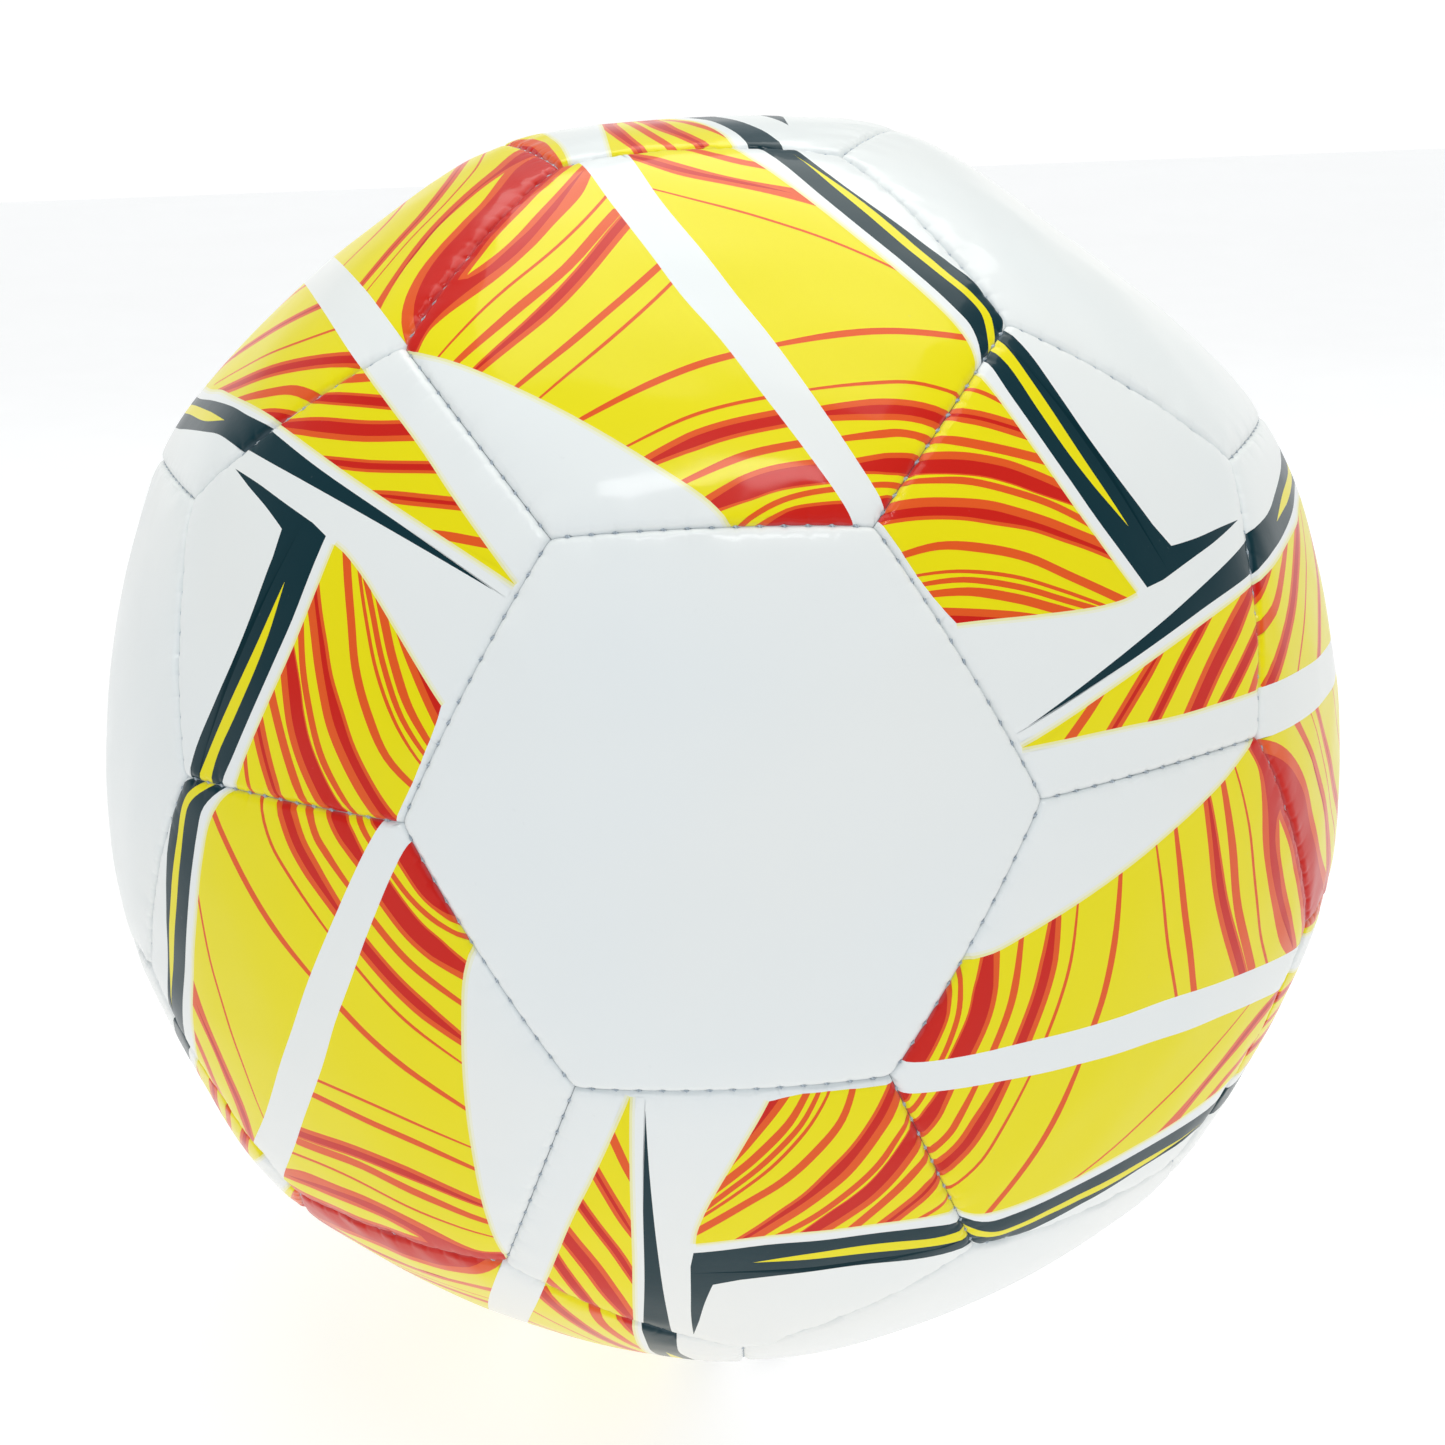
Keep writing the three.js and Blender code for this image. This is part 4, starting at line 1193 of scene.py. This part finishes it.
def turned(name, profile, material):
    """A closed piece turned about the valve's axis from an outline of (radius, height) points."""
    across = unit(np.cross([1.0, 0, 0], VALVE_AXIS))
    other = np.cross(VALVE_AXIS, across)
    angle = 2 * math.pi * np.arange(TURN_STEPS) / TURN_STEPS
    spoke = np.cos(angle)[:, None] * across + np.sin(angle)[:, None] * other
    build = Builder()
    rings = []
    for radius, height in profile:
        if radius == 0:
            rings.append(build.add([VALVE_AXIS * height]))
        else:
            rings.append(build.add(spoke * radius + VALVE_AXIS * height))
    closed_on_axis = profile[0][0] == 0
    following = rings[1:] if closed_on_axis else rings[1:] + rings[:1]
    for near_ring, far_ring in zip(rings, following):
        if len(near_ring) == 1:
            middle = np.full(TURN_STEPS, near_ring[0])
            build.face(np.stack([middle, far_ring, np.roll(far_ring, -1)], -1), 0)
        elif len(far_ring) == 1:
            middle = np.full(TURN_STEPS, far_ring[0])
            build.face(np.stack([near_ring, middle, np.roll(near_ring, -1)], -1), 0)
        else:
            build.wall(near_ring, far_ring, 0)
    mesh = build.mesh(name)
    mesh.materials.append(material)
    return put_in_scene(name, mesh)


def rounded(corners):
    """An outline whose corners (radius, height, rounding) are rounded off."""
    made = []
    for i, (x, y, rounding) in enumerate(corners):
        here = np.array([x, y])
        if not rounding:
            made.append((x, y))
            continue
        before = np.array(corners[i - 1][:2]) - here
        after = np.array(corners[(i + 1) % len(corners)][:2]) - here
        start = here + before / np.linalg.norm(before) * rounding
        end = here + after / np.linalg.norm(after) * rounding
        for t in np.linspace(0, 1, ROUNDING_STEPS + 1):
            made.append(tuple((1 - t) ** 2 * start + 2 * t * (1 - t) * here + t * t * end))
    return made


def heights(node):
    """(lowest, highest, widest radius) of a CAD node along the valve's axis, in millimetres."""
    co = coordinates(node)
    along = co @ VALVE_AXIS
    off = np.linalg.norm(co - along[:, None] * VALVE_AXIS, axis=1)
    return float(along.min()), float(along.max()), float(off.max())


# ---- studio ----------------------------------------------------------------------------
CAMERA_DISTANCE = 0.4032
CAMERA_LENS = 54.53
CAMERA_BACK = Vector((0.0026, -0.9591, 0.283))
CAMERA_UP = Vector((0.0368, 0.2829, 0.958))
CAMERA_SHIFT = (0.0006, 0.0118)
HORIZON = (0.12, 0.34)  # heights, as shares, between which the surround turns to its sky colour
HORIZON_COLOUR = (1.02, 1.02, 1.02, 1)
SKY_COLOUR = (0.36, 0.40, 0.42, 1)
FLOOR_HALF_WIDTH = 6.0
FLOOR_GLOW = 0.79  # the floor is lit from below, like a light table


def build_camera():
    data = bpy.data.cameras.new("camera")
    data.lens, data.sensor_width = CAMERA_LENS, 36
    data.shift_x, data.shift_y = CAMERA_SHIFT
    data.dof.use_dof = False
    data.clip_start, data.clip_end = 0.01, 50
    camera = put_in_scene("camera", data)
    back = CAMERA_BACK.normalized()
    right = CAMERA_UP.cross(back).normalized()
    up = back.cross(right)
    turn = Matrix((right, up, back)).transposed().to_4x4()
    camera.matrix_world = Matrix.Translation(back * CAMERA_DISTANCE) @ turn
    bpy.context.scene.camera = camera


def area_light(name, width, depth, power, place, colour):
    """A soft light that looks at the ball's middle."""
    data = bpy.data.lights.new(name, "AREA")
    data.shape = "RECTANGLE"
    data.size, data.size_y = width, depth
    data.energy, data.color = power, colour
    light = put_in_scene(name, data)
    light.location = place
    light.rotation_mode = "QUATERNION"
    light.rotation_quaternion = (-Vector(place)).to_track_quat("-Z", "Y")


def build_world():
    """A surround that is white at the horizon and a soft cool grey higher up."""
    world = bpy.data.worlds.new("surround")
    n = Nodes("surround", world, "ShaderNodeOutputWorld")
    place = n.add("ShaderNodeTexCoord").outputs["Generated"]
    height = n.add("ShaderNodeSeparateXYZ", {"Vector": place}).outputs["Z"]
    share = n.ramp(height, *HORIZON, kind="SMOOTHSTEP")
    colour = n.mix(share, HORIZON_COLOUR, SKY_COLOUR)
    background = n.add("ShaderNodeBackground", {"Color": colour, "Strength": 1.0})
    n.put(n.output.inputs["Surface"], background.outputs[0])
    bpy.context.scene.world = world


def floor_material():
    """Pale matt studio floor with a slight unevenness."""
    n = Nodes("studio_floor")
    place = n.place()
    colour = n.mix(n.ramp(n.noise(place, 300, 2.0), 0.3, 0.7), (0.29, 0.29, 0.29, 1), (0.32, 0.32, 0.32, 1))
    roughness = n.ramp(n.noise(place, 40, 3.0), 0.3, 0.7, 0.55, 0.7)
    return n.surface(Base_Color=colour, Roughness=roughness, Specular_IOR_Level=0.1,
                     Emission_Color=(1, 1, 1, 1), Emission_Strength=FLOOR_GLOW)


def build_floor():
    signs = ((-1, -1), (1, -1), (1, 1), (-1, 1))
    corners = [(x * FLOOR_HALF_WIDTH, y * FLOOR_HALF_WIDTH, cad_low.z) for x, y in signs]
    mesh = bpy.data.meshes.new("studio_floor")
    mesh.from_pydata(corners, [], [(0, 1, 2, 3)])
    mesh.materials.append(floor_material())
    put_in_scene("studio_floor", mesh)


def build_studio():
    bpy.context.scene.view_settings.view_transform = "Standard"
    build_camera()
    build_world()
    build_floor()
    area_light("overhead_softbox", 1.0, 1.0, 7.4, (0.05, 0.28, 0.95), (1.0, 0.99, 0.95))
    area_light("highlight_strip", 0.5, 0.1, 1.9, (0.0, -0.48, 0.94), (1.0, 1.0, 1.0))
    area_light("front_softbox", 1.6, 1.6, 2.7, CAMERA_BACK * 1.6, (0.40, 0.66, 1.0))


# ---- assembly --------------------------------------------------------------------------
def add_piece(piece, body, slot, *nodes):
    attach(piece, body)
    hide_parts(*nodes)


def build_panels():
    skin, lining = skin_material(), lining_material()
    for number, panel in enumerate(PANELS):
        piece = build_panel(panel, FIRST_PANEL_SEED + 2 * number)
        piece.data.materials.append(skin)
        piece.data.materials.append(lining)
        add_piece(piece, BALL, "skin_white" if panel.print == "plain" else "skin_printed", panel.name)


BLADDER_STEPS = 48
MOULD_LINE = 0.25  # height of the raised line where the bladder's mould parts
MOULD_LINE_WIDTH = 0.8
MOULD_LINE_REACH = 2.5
MOULD_LINE_STEPS = 12


def build_bladder():
    """The butyl bladder, with a mould line round its middle and its mouth at the valve."""
    _, _, radius = heights("bladder")
    mouth = math.asin(BLADDER_OPENING / radius)
    polar = np.linspace(mouth, math.pi, BLADDER_STEPS + 1)
    close = np.linspace(-MOULD_LINE_REACH, MOULD_LINE_REACH, MOULD_LINE_STEPS) / radius
    polar = np.sort(np.concatenate([polar, math.pi / 2 + close]))
    ridge = MOULD_LINE * np.exp(-(((polar - math.pi / 2) * radius / MOULD_LINE_WIDTH) ** 2))
    outside = [((radius + r) * math.sin(p), (radius + r) * math.cos(p)) for p, r in zip(polar, ridge)]
    thin = radius - BLADDER_THICKNESS
    inside_wall = [(thin * math.sin(p), thin * math.cos(p)) for p in polar]
    outside[-1], inside_wall[-1] = (0, -radius), (0, -thin)
    material = rubber_material("butyl_bladder", (0.018, 0.018, 0.020), (0.035, 0.035, 0.037), 0.5, 0.35)
    piece = turned("bladder_rubber", [*inside_wall[::-1], *outside], material)
    add_piece(piece, BALL, "bladder_rubber", "bladder")


def dish(radius, x):
    return math.sqrt(radius * radius - x * x)


def groove(radius, ends, depth, slope, rounding):
    """The corners of a groove turned into a shaft, from its top to its bottom."""
    top, bottom = ends
    return [(radius, top, rounding), (radius - depth, top - slope, 0.1),
            (radius - depth, bottom + slope, 0.1), (radius, bottom, rounding)]


def build_valve_body():
    """The rubber valve: a flange on the bladder, a stem with two grooves, and a head pocket."""
    low, high, flange = heights("valve_body")
    profile = rounded([
        (POCKET_RADIUS, high, 0.2), (STEM_RADIUS, high, 0.3),
        (STEM_RADIUS, dish(FLANGE_OUTER_DISH, STEM_RADIUS), 0.25),
        (flange, dish(FLANGE_OUTER_DISH, flange), 0.25),
        (flange, dish(FLANGE_INNER_DISH, flange), 0.2),
        (STEM_RADIUS, dish(FLANGE_INNER_DISH, STEM_RADIUS), 0.3),
        *groove(STEM_RADIUS, STEM_GROOVES[0], 0.25, 0.3, 0.15),
        *groove(STEM_RADIUS, STEM_GROOVES[1], 0.25, 0.3, 0.15),
        (STEM_RADIUS, low, 0.6), (STEM_BORE, low, 0.3),
        (STEM_BORE, POCKET_FLOOR, 0.2), (POCKET_RADIUS, POCKET_FLOOR, 0.3),
    ])
    material = rubber_material("valve_rubber", (0.012, 0.012, 0.014), (0.026, 0.026, 0.028), 0.42, 0.12)
    piece = turned("valve_body_rubber", profile[::-1], material)
    add_piece(piece, BALL, "valve_rubber", "valve_body")


def build_valve_plug():
    """The plug that seals the valve: a head with a needle guide, and a shank with a groove."""
    low, high, head = heights("valve_plug")
    profile = rounded([
        (0, high - NEEDLE_GUIDE_DEPTH, 0), (NEEDLE_SLIT, high - NEEDLE_GUIDE_DEPTH, 0.2),
        (NEEDLE_SLIT, high - NEEDLE_SLIT_START, 0.2),
        (NEEDLE_GUIDE, high - 0.05, 0.25), (head, high - 0.1, 0.35),
        (head, PLUG_UNDERSIDE, 0.25), (PLUG_SHANK, PLUG_UNDERSIDE, 0.25),
        *groove(PLUG_SHANK, PLUG_GROOVE, 0.2, 0.2, 0.1),
        (PLUG_SHANK, low + PLUG_CHAMFER, 0.3), (PLUG_SHANK - PLUG_CHAMFER, low, 0.4), (0, low, 0),
    ])
    material = rubber_material("plug_rubber", (0.010, 0.010, 0.012), (0.022, 0.022, 0.024), 0.36, 0.10)
    piece = turned("valve_plug_rubber", profile, material)
    add_piece(piece, PLUG, "plug_rubber", "valve_plug")


def build_valve_washer():
    """The cloth washer between the bladder's flange and the skin, round the valve's hole."""
    _, _, radius = heights("valve_washer")
    profile = rounded([
        (VALVE_HOLE_RADIUS, dish(WASHER_OUTER_DISH, VALVE_HOLE_RADIUS), 0.15),
        (radius, dish(WASHER_OUTER_DISH, radius), 0.2),
        (radius, dish(WASHER_INNER_DISH, radius), 0.2),
        (VALVE_HOLE_RADIUS, dish(WASHER_INNER_DISH, VALVE_HOLE_RADIUS), 0.15),
    ])
    piece = turned("valve_washer_cloth", profile[::-1], washer_material())
    add_piece(piece, BALL, "washer_cloth", "valve_washer")


build_studio()
build_panels()
build_threads()
build_bladder()
build_valve_body()
build_valve_plug()
build_valve_washer()
